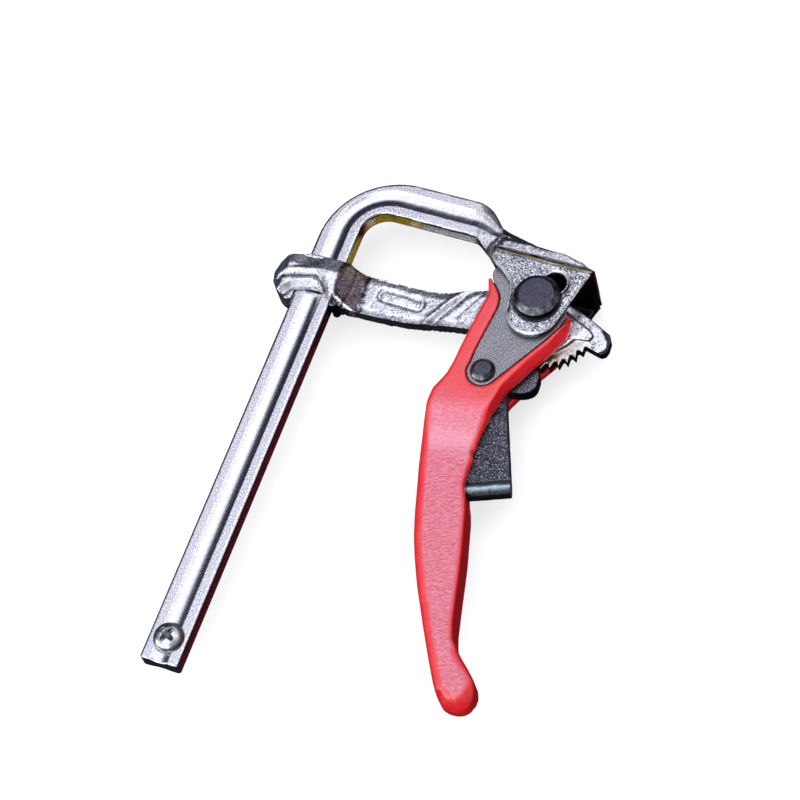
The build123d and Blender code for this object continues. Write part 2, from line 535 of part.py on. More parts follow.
# =========================================================================
# Pawl and trigger: one rocking lever in two pieces, held by pin and rivet.
# =========================================================================
TRIG_HZ = 2.75
TONGUE_HZ = 1.3
BEAD_R = 3.1
BOSS_T = 5.2
NOSE_R = TIP_R + PAWL_CLEAR
n1 = polar(PX, PY, NOSE_R, -72.8)
n2 = polar(PX, PY, NOSE_R, -78.5)
with BuildPart() as pawl:
    # nose, full thickness, ahead of the trigger's boss
    with BuildSketch(Plane.XY.offset(-2.5)):
        with BuildLine():
            w0 = Polyline((72.0, 127.2), (76.6, 130.3), n2)
            w1 = ThreePointArc(n2, polar(PX, PY, NOSE_R, -75.6), n1)
            w2 = Polyline(n1, (84.75, 128.9), (84.9, 126.0))
            w3 = Spline(w2 @ 1, (83.9, 123.4), (81.4, 121.8), (77.6, 121.2), tangents=[(-0.1, -1.0), (-1.0, -0.05)])
            w4 = Polyline(w3 @ 1, (74.2, 121.5), (72.0, 127.2))
        make_face()
        with Locations((LX, LY)):
            Circle(BOSS_T + 0.15, mode=Mode.SUBTRACT)
    extrude(amount=5.0)
    # tongue, sandwiched in the trigger's boss
    with BuildSketch(Plane.XY.offset(-TONGUE_HZ)):
        with BuildLine():
            Polyline((66.4, 119.2), (72.4, 119.4), (77.0, 122.0), (76.4, 129.0), (71.8, 128.0), (66.2, 127.0), close=True)
        make_face()
        with Locations((LX, LY)):
            Circle(4.1)
    extrude(amount=2 * TONGUE_HZ)
    with BuildSketch(Plane.XY.offset(-6)):
        with Locations((LX, LY)):
            Circle(LINK_R + FIT)
        with Locations((71.4, 120.6)):
            Circle(0.9)
    extrude(amount=12, mode=Mode.SUBTRACT)
pawl.part.label = "pawl"
export_step(pawl.part, "parts/pawl.step")

bead0, bead1 = (71.9, 83.2), (88.3, 89.2)
with BuildPart() as release_trigger:
    with BuildSketch(Plane.XY.offset(-TRIG_HZ)) as tr_sk:
        with BuildLine():
            t0 = Polyline((66.3, 118.4), (68.6, 108.0), (69.4, 100.0), (70.2, 92.0), (71.9, 83.2), (88.3, 89.2), (78.4, 114.2), (77.2, 117.2), (76.2, 121.0), (72.0, 126.2), (66.3, 118.4))
        make_face()
        with Locations((LX, LY)):
            Circle(BOSS_T)
    extrude(amount=2 * TRIG_HZ)
    # clear of the pawl's nose
    with BuildSketch(Plane.XY.offset(-5)):
        with BuildLine():
            Polyline((73.9, 121.35), (78.5, 121.05), (80, 135), (71.5, 135), (71.7, 127.4), close=True)
        make_face()
    extrude(amount=10, mode=Mode.SUBTRACT)
    # rounded bead along the free end
    bd = Vector(bead1[0] - bead0[0], bead1[1] - bead0[1], 0)
    with BuildSketch(Plane(origin=(bead0[0], bead0[1], 0), z_dir=(bd.X, bd.Y, 0))):
        Circle(BEAD_R)
    extrude(amount=bd.length)
    # slot for the tongue
    with BuildSketch(Plane.XY.offset(-TONGUE_HZ)):
        with BuildLine():
            Polyline((60.0, 118.95), (72.6, 119.15), (77.6, 121.6), (79, 135), (60, 135), close=True)
        make_face()
    extrude(amount=2 * TONGUE_HZ, mode=Mode.SUBTRACT)
    with BuildSketch(Plane.XY.offset(-6)):
        with Locations((LX, LY)):
            Circle(LINK_R + FIT)
        with Locations((71.4, 120.6)):
            Circle(0.9)
    extrude(amount=12, mode=Mode.SUBTRACT)
print("trigger solids", len(release_trigger.part.solids()), "pawl solids", len(pawl.part.solids()))
release_trigger.part.label = "release_trigger"
export_step(release_trigger.part, "parts/release_trigger.step")

with BuildPart() as trigger_rivet:
    with BuildSketch(Plane.XY.offset(-3.1)):
        with Locations((71.4, 120.6)):
            Circle(0.9)
    extrude(amount=6.2)
trigger_rivet.part.label = "trigger_rivet"
export_step(trigger_rivet.part, "parts/trigger_rivet.step")

# Trigger spring: a compression spring between channel floor and trigger.
SPR_R, SPR_WIRE = 2.0, 0.7
SPR_X0, SPR_X1 = 62.4, 69.35
SPR_TURNS = 6
with BuildPart() as trigger_spring:
    with BuildLine() as sp_ln:
        Helix(pitch=(SPR_X1 - SPR_X0 - SPR_WIRE) / SPR_TURNS, height=SPR_X1 - SPR_X0 - SPR_WIRE, radius=SPR_R,
              center=(SPR_X0 + SPR_WIRE / 2, 98.0, 0), direction=(1, 0, 0))
    with BuildSketch(Plane(origin=sp_ln.line @ 0, z_dir=sp_ln.line % 0)):
        Circle(SPR_WIRE / 2)
    sweep(path=sp_ln.line, is_frenet=True)
print("spring", trigger_spring.part.volume, trigger_spring.part.is_valid)
trigger_spring.part.label = "trigger_spring"
export_step(trigger_spring.part, "parts/trigger_spring.step")
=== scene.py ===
"""Quick release bar clamp: the looks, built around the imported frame. Lengths below are millimetres unless a name says otherwise."""
import math

import bmesh
import bpy
import numpy as np
from mathutils import Matrix, Vector
from mathutils.kdtree import KDTree


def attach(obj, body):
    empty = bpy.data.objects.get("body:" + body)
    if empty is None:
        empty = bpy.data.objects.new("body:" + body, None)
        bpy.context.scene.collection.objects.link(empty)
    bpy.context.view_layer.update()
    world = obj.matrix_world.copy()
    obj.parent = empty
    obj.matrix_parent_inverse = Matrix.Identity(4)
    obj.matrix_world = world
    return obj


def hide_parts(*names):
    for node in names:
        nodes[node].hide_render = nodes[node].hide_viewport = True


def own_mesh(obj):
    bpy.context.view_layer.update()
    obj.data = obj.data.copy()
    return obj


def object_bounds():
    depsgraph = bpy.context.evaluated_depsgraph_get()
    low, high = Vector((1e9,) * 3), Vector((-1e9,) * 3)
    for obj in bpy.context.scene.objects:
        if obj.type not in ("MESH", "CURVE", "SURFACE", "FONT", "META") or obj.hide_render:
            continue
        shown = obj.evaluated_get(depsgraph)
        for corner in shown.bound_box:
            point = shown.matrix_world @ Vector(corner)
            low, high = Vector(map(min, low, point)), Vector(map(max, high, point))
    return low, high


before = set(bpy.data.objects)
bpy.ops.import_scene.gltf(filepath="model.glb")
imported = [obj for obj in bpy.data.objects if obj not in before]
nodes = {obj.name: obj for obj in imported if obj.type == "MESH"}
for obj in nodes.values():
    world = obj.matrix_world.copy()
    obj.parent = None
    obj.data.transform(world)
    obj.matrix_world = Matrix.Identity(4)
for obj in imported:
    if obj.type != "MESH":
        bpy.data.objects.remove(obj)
cad_box = [list(c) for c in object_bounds()]
scene = bpy.context.scene
COARSE = 1.0

# ---- camera: where the photograph was taken from -----------------------------
right = Vector((0.9243, 0.3413, -0.1708)).normalized()
forward = Vector((-0.3051, 0.3918, -0.868)).normalized()
up = right.cross(forward).normalized()
cam_data = bpy.data.cameras.new("photo_camera")
cam = bpy.data.objects.new("photo_camera", cam_data)
scene.collection.objects.link(cam)
cam.matrix_world = Matrix((
    (right.x, up.x, -forward.x, 0.3083),
    (right.y, up.y, -forward.y, -0.2320),
    (right.z, up.z, -forward.z, 0.7580),
    (0, 0, 0, 1)))
cam_data.lens = 119.33
cam_data.sensor_width = 36.0
cam_data.clip_start, cam_data.clip_end = 0.01, 50.0
scene.camera = cam
scene.view_settings.view_transform = "Standard"
scene.view_settings.look = "None"

# ---- where things are, as in the construction ---------------------------------
P = np.array([77.2, 152.1])      # main pivot
L = np.array([67.9, 123.2])      # link pin


# ==============================================================================
# Mesh tools
# ==============================================================================
def smoothstep(a, b, x):
    t = np.clip((x - a) / (b - a), 0.0, 1.0)
    return t * t * (3 - 2 * t)


def vnoise(p, seed=0):
    """Smooth lattice noise, -1 to 1, the same on each run."""
    i = np.floor(p).astype(np.int64)
    f = p - i
    u = f * f * f * (f * (f * 6 - 15) + 10)

    def h(dx, dy, dz):
        n = (i[:, 0] + dx) * 73856093 ^ (i[:, 1] + dy) * 19349663 ^ (i[:, 2] + dz) * 83492791 ^ (seed + 1) * 9176263
        n = (n ^ (n >> 13)) * 1274126177 & 0x7FFFFFFF
        n = (n ^ (n >> 15)) * 668265263 & 0x7FFFFFFF
        return ((n >> 8) & 0xFFFF) / 32767.5 - 1.0

    def mix(a, b, t):
        return a + (b - a) * t

    x00 = mix(h(0, 0, 0), h(1, 0, 0), u[:, 0])
    x10 = mix(h(0, 1, 0), h(1, 1, 0), u[:, 0])
    x01 = mix(h(0, 0, 1), h(1, 0, 1), u[:, 0])
    x11 = mix(h(0, 1, 1), h(1, 1, 1), u[:, 0])
    return mix(mix(x00, x10, u[:, 1]), mix(x01, x11, u[:, 1]), u[:, 2])


def fbm(p, octaves=3, seed=0):
    out, amp, tot = np.zeros(len(p)), 1.0, 0.0
    for k in range(octaves):
        out += amp * vnoise(p * 2.0 ** k, seed + 17 * k)
        tot += amp
        amp *= 0.5
    return out / tot


def mm_copy(node):
    """A node's mesh in millimetres, closed up."""
    me = nodes[node].data.copy()
    bm = bmesh.new()
    bm.from_mesh(me)
    bmesh.ops.scale(bm, vec=(1000, 1000, 1000), verts=bm.verts)
    bmesh.ops.remove_doubles(bm, verts=bm.verts, dist=0.0008)
    bm.to_mesh(me)
    bm.free()
    me.materials.clear()
    return me


def remesh(me, voxel):
    ob = bpy.data.objects.new("tmp_remesh", me)
    scene.collection.objects.link(ob)
    m = ob.modifiers.new("r", "REMESH")
    m.mode = "VOXEL"
    m.voxel_size = voxel
    m.adaptivity = 0.0
    m.use_smooth_shade = True
    dg = bpy.context.evaluated_depsgraph_get()
    out = bpy.data.meshes.new_from_object(ob.evaluated_get(dg))
    bpy.data.objects.remove(ob)
    return out


class Sculpt:
    """A mesh in millimetres whose vertices are moved as numpy arrays."""

    def __init__(self, me):
        self.me = me
        n = len(me.vertices)
        co = np.zeros(n * 3, np.float32)
        me.vertices.foreach_get("co", co)
        self.co = co.reshape(-1, 3).astype(float)
        e = np.zeros(len(me.edges) * 2, np.int32)
        me.edges.foreach_get("vertices", e)
        self.e = e.reshape(-1, 2)
        self.deg = np.bincount(self.e.ravel(), minlength=n).astype(float)
        self.deg[self.deg == 0] = 1

    def _avg(self):
        a, b = self.e[:, 0], self.e[:, 1]
        n = len(self.co)
        out = np.empty_like(self.co)
        for k in range(3):
            out[:, k] = np.bincount(a, self.co[b, k], n) + np.bincount(b, self.co[a, k], n)
        return out / self.deg[:, None]

    def smooth(self, times, lam=0.5, weight=None):
        w = 1.0 if weight is None else weight[:, None]
        for _ in range(times):
            self.co += lam * w * (self._avg() - self.co)
        return self

    def fair(self, times, weight=None):
        """Smooths without shrinking."""
        for _ in range(times):
            self.smooth(1, 0.5, weight)
            self.smooth(1, -0.52, weight)
        return self

    def push(self):
        self.me.vertices.foreach_set("co", self.co.astype(np.float32).ravel())
        self.me.update()
        return self

    def normals(self):
        self.push()
        n = np.zeros(len(self.co) * 3, np.float32)
        self.me.vertex_normals.foreach_get("vector", n)
        return n.reshape(-1, 3).astype(float)

    def mark(self, name, values):
        """Stores a per-vertex amount that the materials read."""
        a = self.me.attributes.new(name, "FLOAT", "POINT")
        a.data.foreach_set("value", np.clip(values, 0, 1).astype(np.float32))
        return self

    def again(self, voxel):
        self.push()
        me = remesh(self.me, voxel)
        bpy.data.meshes.remove(self.me)
        self.__init__(me)
        return self


def new_piece(name, me, body, mat, replaces=(), scale=0.001, flat=False):
    """A mesh in millimetres as a piece on a body."""
    me.name = name
    print("triangles", name, sum(len(f.vertices) - 2 for f in me.polygons))
    me.transform(Matrix.Scale(scale, 4))
    me.materials.clear()
    me.materials.append(mat)
    me.polygons.foreach_set("use_smooth", [not flat] * len(me.polygons))
    ob = bpy.data.objects.new(name, me)
    scene.collection.objects.link(ob)
    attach(ob, body)
    if replaces:
        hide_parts(*replaces)
    return ob


# ==============================================================================
# Material tools. Patterns use object coordinates, in millimetres.
# ==============================================================================
class Mat:
    def __init__(self, name, **principled):
        self.m = bpy.data.materials.new(name)
        self.m.use_nodes = True
        self.t = self.m.node_tree
        self.t.nodes.clear()
        self.out = self.t.nodes.new("ShaderNodeOutputMaterial")
        self.b = self.t.nodes.new("ShaderNodeBsdfPrincipled")
        self.t.links.new(self.b.outputs[0], self.out.inputs[0])
        self.tc = self.t.nodes.new("ShaderNodeTexCoord")
        self.set(**principled)

    def set(self, **kw):
        for k, v in kw.items():
            sock = self.b.inputs[k.replace("_", " ")]
            if hasattr(v, "is_linked") or isinstance(v, bpy.types.NodeSocket):
                self.t.links.new(v, sock)
            else:
                sock.default_value = v
        return self

    def put(self, sock, v):
        if isinstance(v, bpy.types.NodeSocket):
            self.t.links.new(v, sock)
        else:
            sock.default_value = v

    def coords(self, size=1.0, stretch=(1, 1, 1), loc=(0, 0, 0), rot=0.0):
        m = self.t.nodes.new("ShaderNodeMapping")
        k = 1000.0 / size
        m.inputs["Scale"].default_value = tuple(k / s for s in stretch)
        m.inputs["Location"].default_value = loc
        if rot:
            # turn first, then stretch
            r = self.t.nodes.new("ShaderNodeMapping")
            r.inputs["Rotation"].default_value = (0, 0, rot)
            self.t.links.new(self.tc.outputs["Object"], r.inputs["Vector"])
            self.t.links.new(r.outputs[0], m.inputs["Vector"])
        else:
            self.t.links.new(self.tc.outputs["Object"], m.inputs["Vector"])
        return m.outputs[0]

    def noise(self, size, detail=2.0, rough=0.5, stretch=(1, 1, 1), loc=(0, 0, 0), rot=0.0, warp=0.0):
        n = self.t.nodes.new("ShaderNodeTexNoise")
        n.inputs["Scale"].default_value = 1.0
        n.inputs["Detail"].default_value = detail
        n.inputs["Roughness"].default_value = rough
        n.inputs["Distortion"].default_value = warp
        self.t.links.new(self.coords(size, stretch, loc, rot), n.inputs["Vector"])
        return n.outputs[0]

    def rng(self, v, a, b, c=0.0, d=1.0, smooth=True):
        n = self.t.nodes.new("ShaderNodeMapRange")
        n.interpolation_type = "SMOOTHSTEP" if smooth else "LINEAR"
        for k, x in zip(("Value", "From Min", "From Max", "To Min", "To Max"), (v, a, b, c, d)):
            self.put(n.inputs[k], x)
        return n.outputs[0]

    def mix(self, fac, a, b):
        n = self.t.nodes.new("ShaderNodeMix")
        n.data_type = "RGBA"
        self.put(n.inputs["Factor"], fac)
        a = a if isinstance(a, bpy.types.NodeSocket) else (*a, 1.0)
        b = b if isinstance(b, bpy.types.NodeSocket) else (*b, 1.0)
        self.put(n.inputs[6], a)
        self.put(n.inputs[7], b)
        return n.outputs[2]

    def math(self, op, a, b=0.0, clamp=False):
        n = self.t.nodes.new("ShaderNodeMath")
        n.operation = op
        n.use_clamp = clamp
        self.put(n.inputs[0], a)
        self.put(n.inputs[1], b)
        return n.outputs[0]

    def xyz(self, which, source="Object"):
        """One coordinate, in millimetres, or one part of the surface normal."""
        n = self.t.nodes.new("ShaderNodeSeparateXYZ")
        self.t.links.new(self.tc.outputs[source], n.inputs[0])
        s = n.outputs["XYZ".index(which)]
        return self.math("MULTIPLY", s, 1000.0) if source == "Object" else s

    def attr(self, name):
        n = self.t.nodes.new("ShaderNodeAttribute")
        n.attribute_type = "GEOMETRY"
        n.attribute_name = name
        return n.outputs["Fac"]

    def bump(self, height, mm, strength=1.0, normal=None):
        n = self.t.nodes.new("ShaderNodeBump")
        n.inputs["Strength"].default_value = strength
        n.inputs["Distance"].default_value = mm / 1000.0
        self.t.links.new(height, n.inputs["Height"])
        if normal is not None:
            self.t.links.new(normal, n.inputs["Normal"])
        return n.outputs[0]


def rail_material():
    m = Mat("rail_zinc", Metallic=1.0)
    forged = m.attr("forged")                       # 1 on the forged foot
    blotch = m.noise(3.0, 3.0, 0.6)
    grain = m.noise(0.44, 2.0, 0.66)
    streak = m.noise(0.50, 3.0, 0.6, stretch=(1, 26, 1))
    pit = m.noise(0.60, 2.5, 0.68, loc=(9, 4, 2))
    groove = m.attr("groove")                       # 1 in the polished groove
    base = m.mix(m.rng(blotch, 0.35, 0.7), (0.480, 0.480, 0.515), (0.500, 0.500, 0.535))
    base = m.mix(groove, base, (0.66, 0.66, 0.68))
    dull = m.rng(groove, 0.0, 1.0, 1.0, 0.45)
    base = m.mix(m.math("MULTIPLY", m.rng(grain, 0.50, 0.62, 0.0, 0.85), dull), base, (0.25, 0.25, 0.31))
    base = m.mix(m.math("MULTIPLY", m.rng(grain, 0.46, 0.36, 0.0, 0.70), dull), base, (0.84, 0.84, 0.86))
    base = m.mix(m.rng(streak, 0.54, 0.70, 0.0, 0.26), base, (0.30, 0.31, 0.38))
    # painted shade: nose facets that would mirror dark surroundings are darkened, besides getting pits
    mottle_and_shade = m.attr("mottle_and_shade")
    base = m.mix(m.math("MULTIPLY", mottle_and_shade, 0.72), base, (0.11, 0.11, 0.14))
    cover = m.math("SUBTRACT", m.rng(blotch, 0.30, 0.70, 0.53, 0.63), m.math("MULTIPLY", mottle_and_shade, 0.060))
    speck = m.math("MULTIPLY", m.math("SUBTRACT", pit, cover), 16.0, clamp=True)
    base = m.mix(m.math("MULTIPLY", speck, m.math("MAXIMUM", forged, mottle_and_shade)), base, (0.045, 0.048, 0.066))
    base = m.mix(m.math("MULTIPLY", m.attr("stain"), 0.92), base, (0.40, 0.26, 0.085))
    # painted shadow: a dark band on the foot's face just above where it meets the plate
    base = m.mix(m.math("MULTIPLY", m.attr("sole"), 0.92), base, (0.035, 0.035, 0.045))
    base = m.mix(m.math("MULTIPLY", m.attr("toe"), 0.90), base, (0.040, 0.042, 0.052))
    rough = m.math("ADD", m.rng(grain, 0.3, 0.7, 0.10, 0.24), m.math("MULTIPLY", forged, 0.10))
    n1 = m.bump(streak, 0.022, 0.7)
    n2 = m.bump(grain, 0.050, 0.9, n1)
    lumps = m.math("MULTIPLY", m.noise(1.1, 3.0, 0.6, loc=(3, 3, 3)), forged)
    n3 = m.bump(lumps, 0.14, 0.9, n2)
    m.set(Base_Color=base, Roughness=rough, Normal=n3)
    return m.m


def forged_material():
    m = Mat("forged_zinc", Metallic=1.0)
    pit = m.noise(0.62, 2.5, 0.70)
    fine = m.noise(0.40, 2.0, 0.6, loc=(5, 1, 8))
    blotch = m.noise(3.5, 3.0, 0.6, loc=(2, 7, 1))
    base = m.mix(m.rng(blotch, 0.35, 0.7), (0.54, 0.545, 0.60), (0.74, 0.74, 0.78))
    cover = m.rng(blotch, 0.30, 0.70, 0.53, 0.63)
    dark = m.math("MULTIPLY", m.math("SUBTRACT", pit, cover), 18.0, clamp=True)
    base = m.mix(m.math("MULTIPLY", dark, 0.92), base, (0.055, 0.055, 0.080))
    glint = m.math("MULTIPLY", m.math("SUBTRACT", 0.40, fine), 14.0, clamp=True)
    base = m.mix(m.math("MULTIPLY", glint, 0.6), base, (0.92, 0.92, 0.95))
    # the strap's skirt is smoother, and painted greyer and darker as shade in place of the bright lamps it would mirror
    base = m.mix(m.math("MULTIPLY", m.attr("skirt"), 0.85), base, (0.42, 0.44, 0.50))
    # painted shade in the hollow beside the collar: darkened as it would mirror dark surroundings, tinted ochre above
    # and purple below like forging scale
    scale = m.math("MULTIPLY", m.attr("scale"), m.rng(fine, 0.40, 0.60, 0.84, 1.0))
    tint = m.mix(m.rng(m.xyz("Y"), 146.5, 150.0), (0.052, 0.025, 0.038), (0.076, 0.058, 0.022))
    tint = m.mix(m.rng(pit, 0.50, 0.60, 0.0, 0.75), tint, (0.020, 0.014, 0.016))
    base = m.mix(scale, base, tint)
    # the ground face of the toothed sector is creamier and duller
    ground = m.attr("ground")
    cream = m.mix(m.rng(blotch, 0.46, 0.60), (0.45, 0.43, 0.395), (0.34, 0.27, 0.185))
    base = m.mix(m.math("MULTIPLY", ground, m.rng(fine, 0.40, 0.66, 0.95, 0.5)), base, cream)
    # painted shade: a dark line round the foot of the raised pad
    base = m.mix(m.attr("crease"), base, (0.12, 0.085, 0.065))
    # painted shade: facet, strap valley, tab end, upright sides, web bevel and the hollow's sides go near black
    base = m.mix(m.attr("painted_black_shade"), base, (0.030, 0.036, 0.048))
    # painted highlight on the lip above the facet and on the collar's shoulder
    base = m.mix(m.attr("bright"), base, (0.92, 0.93, 0.96))
    rough = m.rng(pit, 0.35, 0.65, 0.19, 0.44)
    n1 = m.bump(m.noise(1.6, 3.0, 0.6, loc=(1, 2, 3)), 0.08, 0.8)
    n2 = m.bump(pit, 0.085, 0.9, n1)
    n3 = m.bump(fine, 0.035, 0.8, n2)
    m.set(Base_Color=base, Roughness=rough, Normal=n3)
    return m.m


def plate_material():
    m = Mat("plate_zinc", Metallic=1.0)
    pit = m.noise(0.43, 2.0, 0.70, loc=(4, 4, 1))
    blotch = m.noise(4.0, 3.0, 0.6, loc=(8, 2, 5))
    base = m.mix(m.rng(blotch, 0.35, 0.7), (0.21, 0.215, 0.25), (0.31, 0.31, 0.34))
    light = m.math("MULTIPLY", m.math("SUBTRACT", m.rng(blotch, 0.3, 0.7, 0.445, 0.48), pit), 20.0, clamp=True)
    base = m.mix(m.math("MULTIPLY", light, 0.9), base, (0.76, 0.76, 0.80))
    dark = m.math("MULTIPLY", m.math("SUBTRACT", pit, m.rng(blotch, 0.3, 0.7, 0.515, 0.57)), 20.0, clamp=True)
    base = m.mix(m.math("MULTIPLY", dark, 0.97), base, (0.026, 0.026, 0.044))
    # painted highlight: the rolled rim of the lobe is lightened where it faces the lamps
    base = m.mix(m.attr("rim"), base, (0.66, 0.66, 0.69))
    # painted shade on the cheeks' edges, under the fold and under the pin's head
    base = m.mix(m.attr("painted_shade"), base, (0.020, 0.022, 0.032))
    rough = m.rng(pit, 0.35, 0.65, 0.27, 0.44)
    n1 = m.bump(pit, 0.034, 0.9)
    n2 = m.bump(m.noise(0.36, 1.5, 0.5, loc=(1, 9, 1)), 0.016, 0.8, n1)
    # the fold along the web is tinted brown, and the inside is painted black as shade
    base = m.mix(m.attr("fold"), base, (0.185, 0.130, 0.052))
    base = m.mix(m.attr("inside"), base, (0.020, 0.022, 0.030))
    m.set(Base_Color=base, Roughness=rough, Normal=n2)
    return m.m


def cam_material():
    m = Mat("cam_steel", Metallic=0.9)
    fine = m.noise(0.44, 2.5, 0.66)
    blotch = m.noise(6.0, 2.0, 0.5, loc=(6, 1, 3))
    base = m.mix(m.rng(blotch, 0.35, 0.7), (0.235, 0.238, 0.262), (0.272, 0.275, 0.300))
    base = m.mix(m.rng(fine, 0.51, 0.62, 0.0, 0.85), base, (0.080, 0.080, 0.092))
    base = m.mix(m.rng(fine, 0.45, 0.35, 0.0, 0.75), base, (0.50, 0.50, 0.53))
    n1 = m.bump(fine, 0.030, 0.9)
    m.set(Base_Color=base, Roughness=m.rng(fine, 0.3, 0.7, 0.38, 0.52), Normal=n1)
    return m.m


def red_material():
    m = Mat("red_powder_coat", Metallic=0.0)
    m.b.inputs["IOR"].default_value = 1.60
    m.b.inputs["Specular IOR Level"].default_value = 0.5
    m.b.inputs["Specular Tint"].default_value = (0.92, 0.94, 1.0, 1.0)
    m.b.inputs["Coat Weight"].default_value = 0.8
    m.b.inputs["Coat Roughness"].default_value = 0.24
    tilt = math.radians(-19)
    face = m.attr("face")                         # 1 on the wide faces of the grip
    wrinkle = m.noise(0.72, 2.5, 0.58, stretch=(1.7, 1.0, 1.3), rot=tilt, warp=0.3)
    peel = m.noise(0.62, 2.0, 0.55, loc=(3, 3, 3))
    blotch = m.noise(9.0, 3.0, 0.5, loc=(5, 5, 5))
    base = m.mix(m.rng(blotch, 0.3, 0.7), (0.50, 0.006, 0.010), (0.56, 0.009, 0.015))
    # the wide faces are painted pinker than the rolled edges, a painted sheen that is lightest on the wrinkles' crests
    face_sheen = m.mix(m.rng(wrinkle, 0.40, 0.60), (0.455, 0.056, 0.092), (0.490, 0.118, 0.176))
    base = m.mix(face, base, face_sheen)
    # painted highlight: the slope below the fork is painted pinker
    base = m.mix(m.math("MULTIPLY", m.attr("sheen"), 0.7), base, (0.62, 0.235, 0.300))
    grip = m.rng(face, 0.0, 1.0, 0.45, 1.0)
    n1 = m.bump(m.math("MULTIPLY", wrinkle, grip), 0.32, 1.0)
    n2 = m.bump(m.math("MULTIPLY", peel, m.rng(face, 0.0, 1.0, 0.8, 1.0)), 0.06, 0.9, n1)
    n2b = m.bump(m.math("MULTIPLY", wrinkle, grip), 0.32, 1.0)
    m.t.links.new(n2b, m.b.inputs["Coat Normal"])
    m.set(Base_Color=base, Roughness=m.rng(peel, 0.3, 0.7, 0.30, 0.44), Normal=n2)
    return m.m


def black_cast_material():
    m = Mat("black_cast", Metallic=0.6)
    cast = m.noise(0.52, 2.5, 0.70)
    blotch = m.noise(3.5, 2.0, 0.6, loc=(2, 2, 8))
    base = m.mix(m.rng(blotch, 0.35, 0.7), (0.020, 0.021, 0.032), (0.050, 0.052, 0.070))
    base = m.mix(m.rng(cast, 0.56, 0.65, 0.0, 0.90), base, (0.36, 0.37, 0.46))
    base = m.mix(m.rng(cast, 0.48, 0.40, 0.0, 0.9), base, (0.005, 0.005, 0.008))
    # the bead is worn smooth by the finger; its crown gets a painted highlight and its underside painted shade
    worn = m.attr("bead")
    base = m.mix(m.math("MULTIPLY", worn, 0.8), base, (0.050, 0.068, 0.080))
    base = m.mix(m.math("MULTIPLY", m.attr("bead_gleam"), 0.85), base, (0.34, 0.42, 0.47))
    base = m.mix(m.math("MULTIPLY", m.attr("bead_shade"), 0.92), base, (0.006, 0.007, 0.009))
    rough = m.mix_value(m.rng(cast, 0.35, 0.65, 0.28, 0.50), worn, 0.18)
    n1 = m.bump(m.math("MULTIPLY", cast, m.rng(worn, 0.0, 1.0, 1.0, 0.3)), 0.15, 1.0)
    n2 = m.bump(m.noise(2.2, 2.0, 0.5, loc=(7, 7, 7)), 0.09, 0.7, n1)
    m.set(Base_Color=base, Roughness=rough, Normal=n2)
    return m.m


def mix_value(self, a, fac, b):
    n = self.t.nodes.new("ShaderNodeMix")
    n.data_type = "FLOAT"
    self.put(n.inputs["Factor"], fac)
    self.put(n.inputs[2], a)
    self.put(n.inputs[3], b)
    return n.outputs[0]


Mat.mix_value = mix_value


def oxide_material():
    m = Mat("black_oxide", Metallic=1.0)
    fine = m.noise(0.44, 2.5, 0.64, loc=(6, 6, 1))
    blotch = m.noise(2.6, 2.0, 0.6, loc=(1, 1, 6))
    base = m.mix(m.rng(blotch, 0.35, 0.7), (0.048, 0.048, 0.068), (0.060, 0.060, 0.083))
    base = m.mix(m.rng(fine, 0.54, 0.70, 0.0, 0.6), base, (0.022, 0.022, 0.034))
    base = m.mix(m.rng(fine, 0.42, 0.30, 0.0, 0.5), base, (0.13, 0.13, 0.16))
    # turned chamfers keep a faint bright skin and get a painted highlight, and the upright sides are painted blacker as
    # shade
    nz = m.math("ABSOLUTE", m.xyz("Z", "Normal"))
    skin_and_highlight = m.math("MULTIPLY", m.rng(nz, 0.95, 0.86, 0.0, 0.8), m.rng(nz, 0.30, 0.55))
    base = m.mix(m.rng(nz, 0.55, 0.30, 0.0, 0.9), base, (0.012, 0.012, 0.015))
    worn = m.rng(m.noise(2.4, 2.5, 0.6, loc=(4, 2, 9)), 0.38, 0.62)
    base = m.mix(skin_and_highlight, base, m.mix(worn, (0.070, 0.075, 0.076), (0.26, 0.270, 0.266)))
    n1 = m.bump(fine, 0.018, 0.8)
    m.set(Base_Color=base, Roughness=m.rng(fine, 0.3, 0.7, 0.20, 0.32), Normal=n1)
    return m.m


def pawl_material():
    m = Mat("pawl_steel", Metallic=0.9)
    fine = m.noise(0.50, 2.5, 0.68, loc=(2, 5, 5))
    base = m.mix(m.rng(fine, 0.43, 0.57), (0.17, 0.17, 0.20), (0.018, 0.018, 0.026))
    base = m.mix(m.attr("rim"), base, (0.010, 0.011, 0.015))
    n1 = m.bump(fine, 0.05, 0.9)
    m.set(Base_Color=base, Roughness=m.rng(fine, 0.3, 0.7, 0.28, 0.44), Normal=n1)
    return m.m


def screw_material():
    m = Mat("screw_zinc", Metallic=1.0)
    fine = m.noise(0.40, 2.0, 0.6, loc=(3, 8, 8))
    blotch = m.noise(2.0, 2.0, 0.6)
    base = m.mix(m.rng(blotch, 0.35, 0.7), (0.44, 0.475, 0.49), (0.62, 0.665, 0.69))
    base = m.mix(m.rng(fine, 0.52, 0.70, 0.0, 0.5), base, (0.24, 0.26, 0.28))
    # painted shade: the cross recess is darkened
    base = m.mix(m.math("MULTIPLY", m.attr("recess"), 0.85), base, (0.075, 0.085, 0.090))
    n1 = m.bump(fine, 0.014, 0.8)
    m.set(Base_Color=base, Roughness=m.rng(fine, 0.3, 0.7, 0.20, 0.34), Normal=n1)
    return m.m


def spring_material():
    m = Mat("spring_wire", Metallic=1.0)
    fine = m.noise(0.3, 2.0, 0.6)
    base = m.mix(m.rng(fine, 0.4, 0.65), (0.42, 0.42, 0.45), (0.24, 0.24, 0.27))
    m.set(Base_Color=base, Roughness=m.rng(fine, 0.3, 0.7, 0.28, 0.42), Normal=m.bump(fine, 0.01, 0.8))
    return m.m


